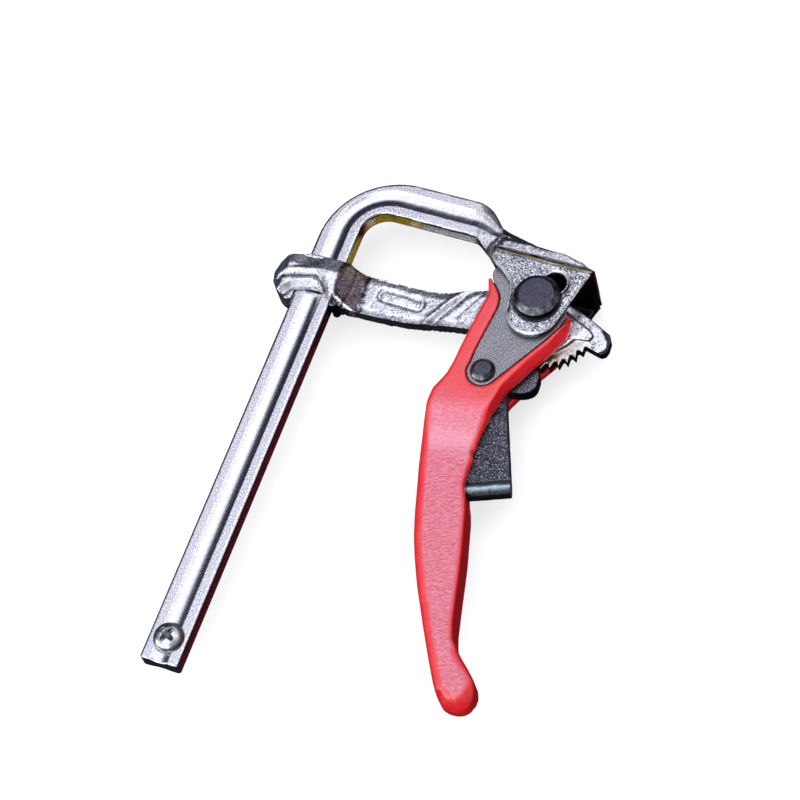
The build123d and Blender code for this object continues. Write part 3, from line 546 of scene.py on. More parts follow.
RAIL, FORGED, PLATE, CAMS = rail_material(), forged_material(), plate_material(), cam_material()
RED, BLACK, OXIDE, PAWL = red_material(), black_cast_material(), oxide_material(), pawl_material()
SCREW, SPRING = screw_material(), spring_material()

NODE_MATERIALS = {
    "rail": RAIL, "end_screw": SCREW, "sliding_arm": FORGED, "grip_pin_inner": OXIDE, "grip_pin_outer": OXIDE,
    "pivot_pin": OXIDE, "pivot_washer": OXIDE, "pressure_plate": PLATE, "cam_plate_front": CAMS, "cam_plate_rear": CAMS,
    "lever_handle": RED, "link_pin": OXIDE, "link_pin_washer": OXIDE, "trigger_spring": SPRING, "pawl": PAWL,
    "release_trigger": BLACK, "trigger_rivet": OXIDE,
}
for node, mat in NODE_MATERIALS.items():
    me = nodes[node].data
    if len(me.materials):
        for k in range(len(me.materials)):
            me.materials[k] = mat
    else:
        me.materials.append(mat)

# ==============================================================================
# Sculpted pieces. Each starts from its node's solid, closed again on a fine grid,
# then gets the rolled edges, forging marks and dents of the real one.
# ==============================================================================
def base(node, voxel):
    return Sculpt(remesh(mm_copy(node), voxel * COARSE))


def poly_dist(p, pts):
    """Distance of points to an open polyline, in the plane."""
    best = np.full(len(p), 1e9)
    pts = np.asarray(pts, float)
    for a, b in zip(pts[:-1], pts[1:]):
        ab = b - a
        t = np.clip(((p - a) @ ab) / (ab @ ab), 0, 1)
        q = a + t[:, None] * ab
        best = np.minimum(best, np.hypot(p[:, 0] - q[:, 0], p[:, 1] - q[:, 1]))
    return best


def side_of(p, pts):
    """Distance to an open polyline, positive on its right as it is walked."""
    pts = np.asarray(pts, float)
    best = np.full(len(p), 1e9)
    sign = np.ones(len(p))
    for a, b in zip(pts[:-1], pts[1:]):
        ab = b - a
        t = np.clip(((p - a) @ ab) / (ab @ ab), 0, 1)
        q = a + t[:, None] * ab
        d = np.hypot(p[:, 0] - q[:, 0], p[:, 1] - q[:, 1])
        s = np.sign((p[:, 0] - a[0]) * ab[1] - (p[:, 1] - a[1]) * ab[0])
        near = d < best
        best = np.where(near, d, best)
        sign = np.where(near, s, sign)
    return best * sign


def bell(x, centre, width):
    return np.exp(-((x - centre) / width) ** 2)


def bumps(s, size, amp, seed, octaves=2, weight=1.0, stretch=(1, 1, 1)):
    n = s.normals()
    d = fbm(s.co / (size * np.asarray(stretch, float)), octaves, seed) * amp * weight
    s.co += n * d[:, None]


# ---- rail ------------------------------------------------------------------------
HW, HT = 6.75, 3.1


GROOVE_LINE = ([(0.0, -2.0), (0.0, 165.1)]
               + [(17.0 + 17.0 * math.cos(math.radians(a)), 165.1 + 17.0 * math.sin(math.radians(a))) for a in range(176, 87, -4)]
               + [(42.5, 181.2), (46.0, 180.8), (49.5, 179.5), (52.6, 177.8), (55.6, 176.8)])
NOSE_EDGE = [(42.0, 187.9), (46.4, 187.1), (49.4, 185.2), (52.3, 182.2), (54.9, 179.5)]
CREASE_Y = [170.4, 171.5, 173.0, 174.0, 175.0, 175.8, 177.5, 179.6]
CREASE_X = [51.6, 51.8, 52.5, 53.3, 54.6, 56.0, 55.6, 54.6]


def sole(x):
    return 167.20 - (x - 57.8) * 0.02165


def nose_lid(x, y):
    """Half thickness of the nose: flat as the bar up to a crease, where the foot swells."""
    lid = 3.12 + 0.05 * np.clip(x - 46.0, 0, 8) - 0.30 * np.clip(175.0 - y, 0, 3.5) * smoothstep(46.0, 48.5, x)
    lid -= 1.0 * np.clip(1 - poly_dist(np.stack([x, y], 1), NOSE_EDGE) / 2.8, 0, 1) ** 1.5 * smoothstep(43.0, 46.5, x)
    return lid + 1.35 * np.clip(x - np.interp(y, CREASE_Y, CREASE_X), 0, None)


def make_rail():
    s = base("rail", 0.36)
    s.fair(2)
    x, y, z = s.co.T
    lid = nose_lid(x, y)
    out = (x > 43.0) & (x < 64.0) & (y > 169.0) & (np.abs(z) > lid)
    s.co[out, 2] = (np.sign(z) * lid)[out]
    s.again(0.36 * COARSE)
    x, y, z = s.co.T
    forged = smoothstep(45.0, 48.5, x)
    s.smooth(2, 0.5, forged)
    # the dished groove, which narrows as it turns down the nose
    n = s.normals()
    x, y, z = s.co.T
    az = np.abs(z)
    d = poly_dist(s.co[:, :2], GROOVE_LINE)
    w = np.interp(x, [43.0, 50.0, 55.6], [3.05, 2.0, 1.1])
    deep = np.interp(x, [43.0, 50.0, 55.6], [0.85, 0.65, 0.35])
    level = np.where(x < 45.0, HT, nose_lid(x, y))
    dish = level - deep * np.clip(1 - (d / w) ** 2, 0, 1)
    flat = (np.sign(z) * n[:, 2] > 0.55) & (az > 1.9) & (y > 0.4) & (d < np.where(x < 48.5, 3.9, w + 0.75)) & (x < 56.0)
    flat |= (az > 1.9) & (az < 4.2) & (d < 3.9) & (x > 44.0) & (x < 48.5)
    want = np.where(x < 48.5, dish, np.minimum(az, dish))
    s.co[flat, 2] = (np.sign(z) * want)[flat]
    # either side of it the bar is dead flat
    land = (x < 45.0) & (y > 0.6) & (d >= w) & (np.abs(n[:, 2]) > 0.93) & (np.abs(s.co[:, 2]) > 2.97)
    s.co[land, 2] = np.sign(s.co[land, 2]) * HT
    # the foot's wide faces roll down towards the toe, and its lower edge is eased
    x, y, z = s.co.T
    side = smoothstep(0.3, 0.6, np.sign(z) * s.normals()[:, 2]) * (np.abs(z) > 8.0)
    s.co[:, 2] -= np.sign(z) * side * (1.1 * smoothstep(82.0, 92.0, x) + 0.45 * smoothstep(64.0, 57.0, x)
                                       + 0.5 * smoothstep(0.9, 0.0, y - sole(x)))
    # the free end's corners are broken
    x, y, z = s.co.T
    cut = np.clip(np.where(x < 0, 0.8, 0.5) - ((HW - np.abs(x)) + y), 0, None) * 0.5
    cut = np.where(y < 3, cut, 0.0)
    s.co[:, 0] -= np.sign(x) * cut
    s.co[:, 1] += cut
    # the sawn end's upper edge is ragged where it was broken
    ragged = 0.55 + 0.35 * fbm(np.stack([x / 1.3, z * 0, z * 0], 1), 2, 9)
    lean = np.clip(ragged - y, 0, None)
    s.co[:, 2] -= np.sign(z) * lean * 0.8 * smoothstep(2.0, 3.0, np.abs(z))
    # the bend was pressed hot: faint ripples run round it
    x, y, z = s.co.T
    crease = x - np.interp(y, CREASE_Y, CREASE_X)
    forged = smoothstep(-3.0, 0.5, crease) * (x > 44.0)
    bend = smoothstep(160.0, 168.0, y) * (1 - forged)
    bumps(s, 4.5, 0.035, 3, 2, bend)
    bumps(s, 2.4, 0.10, 5, 3, forged)
    bumps(s, 1.0, 0.06, 6, 2, forged)
    n = s.normals()
    x, y, z = s.co.T
    az = np.abs(z)
    d = poly_dist(s.co[:, :2], GROOVE_LINE)
    w = np.interp(x, [43.0, 50.0, 55.6], [3.05, 2.0, 1.1])
    s.mark("groove", smoothstep(w + 0.1, w - 0.25, d) * (np.sign(z) * n[:, 2] > 0.5) * (az < np.where(x < 45.0, 3.25, 3.9)) * smoothstep(55.0, 52.5, x))
    crease = x - np.interp(y, CREASE_Y, CREASE_X)
    s.mark("forged", smoothstep(-3.0, 0.5, crease) * (x > 44.0))
    stain = bell(crease, 0.35, 0.60) * (y > 174.6) * (x < 60) * (az < 7.0) * (x > 50)
    s.mark("stain", stain)
    # the nose facets and the corner by the crease get painted shade and pits
    ragged = 0.6 * fbm(s.co / 1.6, 3, 12)
    facet = 0.8 * smoothstep(3.0, 1.2, poly_dist(s.co[:, :2], NOSE_EDGE[2:]) + ragged) * (x > 47)
    corner = smoothstep(67.0, 60.0, x + 0.45 * (187.0 - y)) * smoothstep(-0.3, 0.5, crease) * smoothstep(172.5, 176.5, y) * (az > 3.0)
    s.mark("mottle_and_shade", np.maximum(facet, corner))
    # painted shadow along the foot's face just above its sole line
    s.mark("sole", smoothstep(1.25, 0.6, y - sole(x)) * (az > 8.0) * (x > 56))
    s.mark("toe", smoothstep(85.5, 89.0, x + 2.5 * ragged) * (az > 8.0))
    s.co[:, 1] = np.maximum(s.co[:, 1], 0.002)
    s.push()
    return new_piece("rail_bar", s.me, "frame", RAIL, ["rail"])


# ---- sliding arm -------------------------------------------------------------------
STRAP_TOP = [(-17.5, 143.6), (-12.5, 145.2), (-6.5, 146.8), (-0.6, 148.0), (3.3, 145.3), (6.3, 142.0), (7.6, 138.2)]
STRAP_LOW = [(-9.6, 135.2), (-7.4, 138.4), (-5.8, 139.1), (-0.9, 140.9), (3.0, 140.2), (5.5, 139.0), (7.6, 137.0)]
TAB_EDGE = [(95.0, 153.6), (97.5, 152.6), (100.0, 151.0), (102.3, 148.4), (103.1, 146.0), (103.1, 145.0), (102.5, 143.3), (101.2, 142.45)]
PATCH_Y, PATCH_L, PATCH_R = [135.0, 139.3, 141.5, 153.0], [9.2, 8.3, 7.1, 6.4], [17.6, 17.2, 16.9, 15.9]
FACET_LINE = [(7.4, 140.4), (8.5, 139.1), (12.7, 137.3), (17.0, 135.6)]


def patch_across(co):
    """0 at the left side of the hollow beside the collar, 1 at its right side."""
    lo, hi = np.interp(co[:, 1], PATCH_Y, PATCH_L), np.interp(co[:, 1], PATCH_Y, PATCH_R)
    return (co[:, 0] - lo) / (hi - lo)


WEB_TOP = [(8.0, 152.9), (13.4, 151.4), (16.4, 150.9), (23.8, 150.7), (30.9, 150.5), (36.0, 150.6), (41.0, 150.9), (45.5, 151.8), (50.5, 153.9), (57.0, 155.7)]
WEB_LOW = [(9.0, 136.9), (15.7, 136.6), (24.0, 136.6), (34.7, 137.0), (42.0, 138.3), (50.0, 139.6), (56.0, 140.3)]


def make_arm():
    s = base("sliding_arm", 0.30)

    def looseness(co):
        """How freely the forging's surface may be softened: bores, slot and teeth stay true."""
        r = np.hypot(co[:, 0] - P[0], co[:, 1] - P[1])
        w = np.where((r < 8.0) | ((np.abs(co[:, 0]) < 7.4) & (np.abs(co[:, 2]) < 3.7)), 0.0, 1.0)
        w = np.where((co[:, 0] > 62) & (r >= 8.0), 0.25, w)
        return np.where((r > 17.6) & (co[:, 0] > 64) & (co[:, 1] < 143.0), 0.0, w)

    s.smooth(4, 0.5, looseness(s.co))
    # the strap's lower wall stands back over the rail
    x, y, z = s.co.T
    back = np.interp(x, [-9.8, -7.4, -3.0, 3.0, 5.5, 7.4], [0.0, 2.4, 2.1, 1.4, 0.6, 0.0])
    s.co[:, 1] += back * smoothstep(143.5, 139.2, y) * (y < 144.0) * (np.abs(z) > 3.15)
    n = s.normals()
    x, y, z = s.co.T
    p = s.co[:, :2]
    az = np.abs(z)
    top = smoothstep(0.25, 0.5, np.sign(z) * n[:, 2])
    slot = (np.abs(x) < 7.4) & (az < 3.7)
    top = np.where(slot, 0.0, top)
    want = az.copy()

    # the strap over the rail: two ridges with a valley, then a smooth skirt
    u = side_of(p, STRAP_TOP)
    low = poly_dist(p, STRAP_LOW)
    on = smoothstep(9.6, 7.4, x) * (y < 153.0)
    ridge = (0.15 * bell(u, 0.9, 0.8) - 1.15 * bell(u, 2.75, 0.95) + 0.10 * bell(u, 4.4, 0.5))
    ridge = np.where(u > -0.4, ridge, 0.0) * smoothstep(-0.4, 0.3, u)
    outside = -0.75 * smoothstep(0.3, -0.9, u) * smoothstep(9.0, 4.0, np.abs(x + 2)) * smoothstep(0.5, -4.0, x)
    skirt = -1.9 * np.clip(1 - low / 2.3, 0, 1) ** 0.8 * (u > 3.0)
    want += (ridge + outside + skirt) * on * (az > 4.2)

    # a concave fillet runs from the collar down to the web
    t_left = patch_across(s.co)
    t = np.clip(t_left, 0, 1)
    fillet_z = 3.0 + 3.3 * (1 - t) ** 2.2 - 0.45 * bell(t_left, 0.93, 0.10)
    fillet_z = np.where(x < 7.9, np.maximum(fillet_z, 4.25), fillet_z)
    want = np.where((t_left > 0) & (x < 22), np.minimum(want, fillet_z), want)
    # under it a steep facet falls away to the lower edge
    fall = side_of(p, FACET_LINE)
    along = smoothstep(7.2, 8.4, x) * smoothstep(22.0, 15.0, x) * (y < 141.5)
    want += (0.40 * bell(fall, -0.25, 0.38) - 1.5 * np.clip(fall, 0, 2.0)) * along

    # web: rolled upper edge, bevelled lower edge
    web = smoothstep(11.0, 15.0, x) * smoothstep(60.0, 55.0, x)
    d_top, d_low = poly_dist(p, WEB_TOP), poly_dist(p, WEB_LOW)
    want -= 0.95 * np.clip(1 - d_top / 3.2, 0, 1) ** 1.5 * web
    want -= 1.10 * np.clip(1 - d_low / 2.5, 0, 1) ** 1.2 * web
    # a stamped ring lies round the stadium recess
    c, sn = math.cos(math.radians(-3)), math.sin(math.radians(-3))
    lx = (x - 30.0) * c + (y - 144.7) * sn
    ly = -(x - 30.0) * sn + (y - 144.7) * c
    rd = np.hypot(np.clip(np.abs(lx) - 5.9, 0, None), ly) - 2.6
    want -= 0.42 * bell(rd, -0.45, 0.55) * (x > 16) * (x < 44)
    want += 0.30 * smoothstep(-0.9, -1.8, rd) * (x > 16) * (x < 44)
    # a rib and its trough cross the web on a diagonal, then come finer lines
    g = side_of(p, [(40.7, 137.0), (41.7, 138.8), (50.1, 152.9), (51.2, 154.8)])
    want += (0.42 * bell(g, -0.9, 0.85) - 0.62 * bell(g, 1.25, 0.95)) * web * (x > 36)
    for line in ([(50.6, 143.5), (56.0, 153.5)], [(51.9, 141.9), (60.1, 143.7)], [(50.6, 143.5), (51.9, 141.9)]):
        want -= 0.22 * bell(poly_dist(p, line), 0, 0.38) * (x > 44)
    # the stop tab's outer end is rolled right over
    want -= 0.5 * np.clip(1 - poly_dist(p, TAB_EDGE) / 1.1, 0, 1) ** 1.4 * smoothstep(94.5, 97.5, x)
    want = np.maximum(want, 0.7)
    s.co[:, 2] += np.sign(z) * (want - az) * top

    # the remesh rounds the teeth a little, so their roots are taken back down
    v = s.co[:, :2] - P
    r = np.hypot(v[:, 0], v[:, 1])
    ang = np.degrees(np.arctan2(v[:, 1], v[:, 0]))
    band = smoothstep(18.0, 18.9, r) * (r < 21.3) * smoothstep(-108.0, -104.0, ang) * smoothstep(-27.5, -29.5, ang)
    deeper = 21.1 - (21.1 - r) * 1.45
    s.co[:, :2] = P + v * ((r + (np.minimum(deeper, r) - r) * band) / np.maximum(r, 1e-6))[:, None]
    s.again(0.30 * COARSE)
    s.smooth(2, 0.5, looseness(s.co))
    soft = looseness(s.co)
    bumps(s, 3.2, 0.075, 21, 3, soft)
    bumps(s, 1.2, 0.065, 22, 2, soft)
    x, y, z = s.co.T
    p = s.co[:, :2]
    r = np.hypot(x - P[0], y - P[1])
    az = np.abs(z)
    t_left = patch_across(s.co)
    edge = 0.22 * fbm(s.co / 1.3, 3, 25)
    fall = side_of(p, FACET_LINE)
    below = smoothstep(0.1, 0.5, fall) * (y < 141.5)
    # painted shade: the hollow beside the collar is marked to be darkened and tinted
    s.mark("scale", smoothstep(-0.04, 0.06, t_left + 0.6 * edge) * smoothstep(1.06, 0.95, t_left + edge) * (y < 153.6) * (az > 1.0) * (1 - below))
    u = side_of(p, STRAP_TOP)
    strap = (x < 6.8) & (az > 3.9) & (y < 150.0)
    # painted shade under the facet line, in the strap's valley, at the tab's rolled end and on the web's lower bevel
    facet = 0.85 * below * smoothstep(6.4, 7.4, x) * smoothstep(21.0, 14.0, x) * (az < 5.5)
    valley = 0.85 * bell(u + 1.6 * edge, 2.75, 0.62) * strap
    tab = smoothstep(1.45, 1.0, poly_dist(p, TAB_EDGE[2:]) + 1.8 * edge) * smoothstep(97.5, 99.5, x)
    # painted shade: the sector's upright sides and the tab's are painted black
    upright = 0.92 * smoothstep(0.60, 0.35, np.abs(s.normals()[:, 2])) * (r > 17.0) * (x > 64.0) * ((y < 147.0) | (x > 86.0))
    tab = np.maximum(tab, upright)
    bevel = 0.6 * smoothstep(2.1, 1.2, poly_dist(p, WEB_LOW) + 2.0 * edge) * smoothstep(13.0, 17.0, x) * smoothstep(60.0, 55.0, x)
    # painted shade: black along both sides of the hollow
    fringe = 0.75 * np.maximum(bell(t_left + 0.8 * edge, 0.0, 0.055), bell(t_left + 0.8 * edge, 1.0, 0.050)) * (y < 153.2) * (az > 1.0) * (1 - below)
    s.mark("painted_black_shade", np.maximum.reduce([facet, valley, tab, bevel, fringe]))
    # painted shade on the strap's skirt
    s.mark("skirt", smoothstep(4.7, 5.3, u) * strap * (np.abs(x + 1.0) < 7.8))
    # painted highlight along the lip above the steep facet
    lip = bell(fall, -0.15, 0.34) * smoothstep(7.2, 8.2, x) * smoothstep(18.0, 15.5, x) * (y < 141.5) * (az < 5.5)
    # painted highlight: the collar's shoulder between strap and hollow is painted the brightest
    shoulder = 0.62 * smoothstep(0.2, -0.4, u) * smoothstep(-3.0, 1.5, x) * smoothstep(0.02, -0.10, t_left) * (az > 3.4) * (y < 153.0) * (y > 139.5)
    s.mark("bright", np.maximum(lip, shoulder))
    # the sector is ground flat beside its teeth; the raised pad stops short of them
    pad = [(66.0, 139.8), (74.0, 136.3), (84.0, 137.5), (86.6, 139.2), (89.6, 142.6), (91.4, 145.4), (96.2, 145.9), (96.9, 147.8), (95.4, 149.4),
           (88.0, 152.9), (83.4, 155.2)]
    foot_line = poly_dist(p, pad)
    low = smoothstep(2.45, 2.15, az)
    s.mark("ground", low * (x > 64) * (y < 146.0) * smoothstep(96.0, 92.5, x) * (r > 14))
    # painted shade along the foot of the raised pad
    s.mark("crease", smoothstep(0.45, 0.15, foot_line) * (az > 1.7) * (az < 2.9) * (x > 66) * np.where(y > 144.5, 0.4, 0.8))
    s.push()
    return new_piece("forged_arm", s.me, "arm", FORGED, ["sliding_arm"])


# ---- pressure plate ------------------------------------------------------------------
def make_plate():
    s = base("pressure_plate", 0.36)
    s.fair(2)
    y = s.co[:, 1]
    # sheared edges are rolled over, the web's flat stays as pressed
    s.smooth(5, 0.5, smoothstep(164.4, 162.5, y))
    n = s.normals()
    flat = smoothstep(0.8, 0.95, np.abs(n[:, 2])) * smoothstep(164.5, 163.0, y)
    s.co[:, 2] += np.sign(s.co[:, 2]) * fbm(s.co / 9.0, 2, 31) * 0.05 * flat
    # blanking rolled the sheet's outer edges over
    x, y, z = s.co.T
    az = np.abs(z)
    rim = (np.abs(n[:, 2]) < 0.5) & (az > 10.0) & (y < 164.0)
    tree = KDTree(int(rim.sum()))
    for k, q in enumerate(s.co[rim]):
        tree.insert((q[0], q[1], 0.0), k)
    tree.balance()
    top = np.nonzero((np.sign(z) * n[:, 2] > 0.5) & (az > 11.0) & (y < 164.8))[0]
    gap = np.array([tree.find((s.co[k, 0], s.co[k, 1], 0.0))[2] for k in top])
    s.co[top, 2] -= np.sign(z[top]) * 0.55 * np.clip(1 - gap / 1.7, 0, 1) ** 2
    x, y, z = s.co.T
    clear = smoothstep(9.9, 11.2, np.abs(z)) * smoothstep(164.5, 163.0, y)
    bumps(s, 1.5, 0.028, 32, 2, clear)
    n = s.normals()
    x, y, z = s.co.T
    az = np.abs(z)
    # painted shade: the plate's inner faces are marked to be painted black
    inner = smoothstep(0.2, -0.2, np.sign(z) * n[:, 2]) * smoothstep(10.6, 10.2, az)
    s.mark("inside", np.maximum(inner, smoothstep(9.9, 9.6, az) * smoothstep(0.3, -0.1, n[:, 1])))
    # painted shade along the cheeks' left and right edges
    left = smoothstep(0.20, 0.45, -n[:, 0]) * smoothstep(0.35, 0.10, -n[:, 1] + 0.15) * (az > 9.6) * (y < 164.5)
    right = smoothstep(0.35, 0.60, n[:, 0]) * (np.abs(n[:, 2]) < 0.7) * (az > 9.6) * (y < 164.5)
    # painted shade: a dark line under the fold, and a painted shadow under the pin's head
    depth = sole(x) - y
    line = 0.8 * bell(depth, 1.40, 0.30) * (az > 11.0)
    away = np.hypot(x - P[0] - 0.26, y - P[1] + 0.97)
    head_shadow = 0.95 * smoothstep(8.55, 8.10, away) * (z > 11.0)
    s.mark("painted_shade", np.maximum.reduce([left, right, line, head_shadow]))
    lean = n[:, 0] / np.maximum(np.hypot(n[:, 0], n[:, 1]), 1e-3)
    # painted highlight on the rolled rim, left out on the left edge and the right-leaning sides
    s.mark("rim", smoothstep(0.985, 0.90, np.abs(n[:, 2])) * smoothstep(0.10, 0.35, np.sign(z) * n[:, 2]) * smoothstep(164.6, 163.6, y)
           * (az > 11.0) * (1 - left) * smoothstep(0.75, 0.45, lean) * (1 - head_shadow))
    s.mark("fold", smoothstep(1.05, 0.85, depth) * smoothstep(11.0, 11.6, az))
    s.push()
    return new_piece("folded_plate", s.me, "plate", PLATE, ["pressure_plate"])


# ---- cam plates ------------------------------------------------------------------------
def make_cam(node, name):
    s = base(node, 0.33)
    s.fair(2)
    s.smooth(1, 0.5)
    s.push()
    return new_piece(name, s.me, "lever", CAMS, [node])


# ---- lever -------------------------------------------------------------------------------
LEFT_EDGE = [(57.9, 157.0), (59.9, 151.2), (59.0, 145.0), (58.2, 137.8), (57.5, 130.2), (57.1, 124.1), (56.3, 119.6), (54.9, 116.3),
             (53.6, 113.6), (53.3, 108.6), (54.2, 101.8), (55.6, 95.5), (57.8, 86.5), (60.0, 78.7), (62.2, 71.0), (64.5, 63.7),
             (66.8, 57.8), (69.3, 52.2), (72.0, 46.5), (74.9, 41.0), (77.8, 35.5), (80.7, 30.1), (83.7, 24.7), (86.7, 19.4), (89.8, 14.0)]
BALL_EDGE = [(89.8, 14.0), (92.6, 10.4), (95.0, 9.4), (97.4, 9.6), (99.4, 11.0), (100.8, 13.4), (101.3, 16.4), (101.1, 19.2), (99.9, 22.0),
             (97.3, 24.6), (94.6, 27.0), (91.6, 30.0)]
RIGHT_EDGE = [(91.6, 30.0), (89.2, 33.2), (87.6, 37.8), (86.2, 43.8), (84.9, 49.6), (83.7, 55.2), (82.4, 60.6), (81.1, 65.6), (79.8, 70.6),
              (78.5, 75.0), (77.0, 78.6), (75.2, 81.8), (73.8, 84.9), (73.1, 88.6), (72.9, 93.3), (73.4, 99.0), (73.9, 104.5), (74.2, 110.5)]
SLOPE_S = [-4.5, -2.2, 0.8, 3.6, 6.5, 9.0]
SLOPE_H = [9.5, 9.15, 7.95, 7.25, 6.85, 6.8]


def blunt(x, y):
    """How far the ground nose reaches in from the ball's outline."""
    return np.minimum(np.interp(x, [88.0, 90.0, 93.0, 95.5], [0.8, 1.8, 3.8, 4.8]), np.interp(x + y, [106.0, 118.0, 122.5], [4.8, 2.6, 0.5]))


def make_lever():
    s = base("lever_handle", 0.40)
    s.fair(2)
    x, y, z = s.co.T
    p = s.co[:, :2]
    a = math.radians(12.6)
    along = (x - 64.5) * math.sin(a) - (y - 106.5) * math.cos(a)
    H = np.interp(along, SLOPE_S, SLOPE_H)
    drop = np.zeros(len(p))
    for edge, R in ((LEFT_EDGE, np.interp(y, [92, 112, 122], [2.9, 1.6, 0.9])), (RIGHT_EDGE, np.full(len(p), 1.1))):
        d = poly_dist(p, edge)
        k = np.clip(R - d, 0, None)
        drop = np.maximum(drop, R - np.sqrt(np.clip(R * R - k * k, 0, None)))
    # the end is ground to a blunt nose, with a crisp line where the wide face stops
    d = poly_dist(p, BALL_EDGE)
    steep = np.interp(x + y, [106.0, 116.0, 122.5], [5.6, 4.0, 1.0])
    drop = np.maximum(drop, steep * np.clip(1 - d / blunt(x, y), 0, 1) ** 1.45)
    lim = H - drop
    az = np.abs(z)
    out = (az > lim) & (y < 158)
    s.co[out, 2] = (np.sign(z) * lim)[out]
    y = s.co[:, 1]
    s.co[:, 1] += 1.7 * (np.clip(20.5 - y, 0, None) / 11.1) ** 2
    s.again(0.40 * COARSE)
    x, y, z = s.co.T
    az = np.abs(z)
    # everything outside is softened as cast, the fork's inner faces and bores stay true
    inner = (y > 112) & (az < 6.0)
    w = np.where(inner, 0.0, 1.0)
    w *= np.where((y > 108) & (np.hypot(x - L[0], y - L[1]) < 4.2), 0.0, 1.0)
    s.smooth(3, 0.5, w)
    # the step where the trigger's channel opens is blended away on the outside
    blend = smoothstep(9.0, 4.0, np.hypot(x - 74.0, (y - 98.0) * 0.8)) * (x > 70.5)
    s.smooth(60, 0.5, blend)
    grip = smoothstep(118.0, 104.0, y)
    s.smooth(3, 0.5, w * grip * (az > 4.0))
    ridge = smoothstep(3.6, 4.4, az) * np.where(inner, 0.0, 1.0)
    # slow swells, then the coat's short wrinkles, longest across the handle
    bumps(s, 7.0, 0.10, 41, 2, ridge * grip)
    q = s.co.copy()
    a2 = math.radians(19)
    across = q[:, 0] * math.cos(a2) + q[:, 1] * math.sin(a2)
    length = -q[:, 0] * math.sin(a2) + q[:, 1] * math.cos(a2)
    n = s.normals()
    wr = fbm(np.stack([across / 3.0, length / 1.25, q[:, 2] / 2.2], 1), 2, 43)
    x, y, z = s.co.T
    p = s.co[:, :2]
    inside = np.minimum(poly_dist(p, LEFT_EDGE) - np.interp(y, [92, 112, 122], [2.6, 1.5, 0.9]), poly_dist(p, RIGHT_EDGE) - 0.9)
    d = poly_dist(p, [(q0, q1 + 1.7 * (max(20.5 - q1, 0) / 11.1) ** 2) for q0, q1 in BALL_EDGE])
    inside = np.minimum(inside, d - 0.85 * blunt(x, y))
    face = smoothstep(-0.45, 1.10, inside) * smoothstep(0.75, 0.9, np.sign(z) * n[:, 2]) * grip
    s.co += n * (np.clip(wr, -0.6, 0.35) * 0.032 * ridge * (0.15 + 0.85 * face))[:, None]
    s.mark("face", face)
    az = np.abs(z)
    along = (x - 64.5) * math.sin(a) - (y - 106.5) * math.cos(a)
    # painted highlight on the slope where the fork's thickness falls to the grip's
    s.mark("sheen", face * bell(along, 8.5, 4.0) * smoothstep(-1.0, 5.0, x - 55.0))
    # beside the trigger the cheeks stand out to a straight edge
    fuller = np.interp(y, [74.0, 78.0, 80.3, 84.2, 87.5, 90.3, 93.5, 96.1, 100.0], [0.0, 0.25, 0.5, 0.75, 1.2, 1.55, 1.85, 0.55, 0.0])
    s.co[:, 0] += fuller * smoothstep(66.0, 71.5, x) * smoothstep(3.5, 4.2, az)
    s.push()
    return new_piece("cast_lever", s.me, "lever", RED, ["lever_handle"])


# ---- trigger and pawl ------------------------------------------------------------------------
def make_trigger():
    s = base("release_trigger", 0.24)
    s.fair(2)
    s.smooth(3, 0.5, (np.hypot(s.co[:, 0] - L[0], s.co[:, 1] - L[1]) > 4.5).astype(float))
    # the free end is rolled into a round bead, with a crease above it
    u = -0.344 * s.co[:, 0] + 0.939 * s.co[:, 1]
    az = np.abs(s.co[:, 2])
    bead = np.sqrt(np.clip(3.1 ** 2 - (u - 53.4) ** 2, 0.04, None))
    lim = np.where(u < 56.2, bead + 0.02, 2.75) - 0.55 * bell(u, 56.75, 0.5) * (u > 55.2)
    out = (az > lim) & (u < 58.5)
    s.co[out, 2] = (np.sign(s.co[:, 2]) * lim)[out]
    s.smooth(1, 0.5, (u < 59).astype(float))
    x, y, z = s.co.T
    free = smoothstep(112.0, 106.0, y)
    bumps(s, 2.4, 0.07, 51, 2, free)
    bumps(s, 0.9, 0.05, 52, 2, free)
    u = -0.344 * s.co[:, 0] + 0.939 * s.co[:, 1]
    bead = smoothstep(56.3, 55.7, u)
    n = s.normals()
    tip = 0.344 * n[:, 0] - 0.939 * n[:, 1]
    s.mark("bead", bead)
    # painted shade under the bead and a painted highlight along its crown, by which way the surface faces
    s.mark("bead_shade", bead * smoothstep(0.35, 0.70, tip))
    s.mark("bead_gleam", bead * bell(tip, 0.12, 0.16))
    s.push()
    return new_piece("cast_trigger", s.me, "trigger", BLACK, ["release_trigger"])


def make_pawl():
    s = base("pawl", 0.17)
    s.fair(2)
    x, y, z = s.co.T
    nose = smoothstep(74.0, 78.0, x)
    s.smooth(26, 0.5, nose)
    bumps(s, 0.9, 0.03, 61, 2, nose)
    n = s.normals()
    s.mark("rim", np.maximum(smoothstep(0.985, 0.93, np.abs(n[:, 2])), 1 - nose))
    s.push()
    return new_piece("hardened_pawl", s.me, "trigger", PAWL, ["pawl"])


# ---- turned parts -----------------------------------------------------------------------------
def round_profile(profile, radii, steps=5):
    """Rounds the inner corners of an (r, z) profile."""
    out = [profile[0]]
    for k in range(1, len(profile) - 1):
        a, b, c = (np.array(profile[i], float) for i in (k - 1, k, k + 1))
        rad = radii.get(k, 0.0)
        if rad <= 0:
            out.append(tuple(b))
            continue
        u, v = (a - b) / np.linalg.norm(a - b), (c - b) / np.linalg.norm(c - b)
        cut = min(rad, 0.45 * np.linalg.norm(a - b), 0.45 * np.linalg.norm(c - b))
        p0, p1 = b + u * cut, b + v * cut
        for t in np.linspace(0, 1, steps):
            out.append(tuple((1 - t) ** 2 * p0 + 2 * t * (1 - t) * b + t * t * p1))
    out.append(profile[-1])
    return out


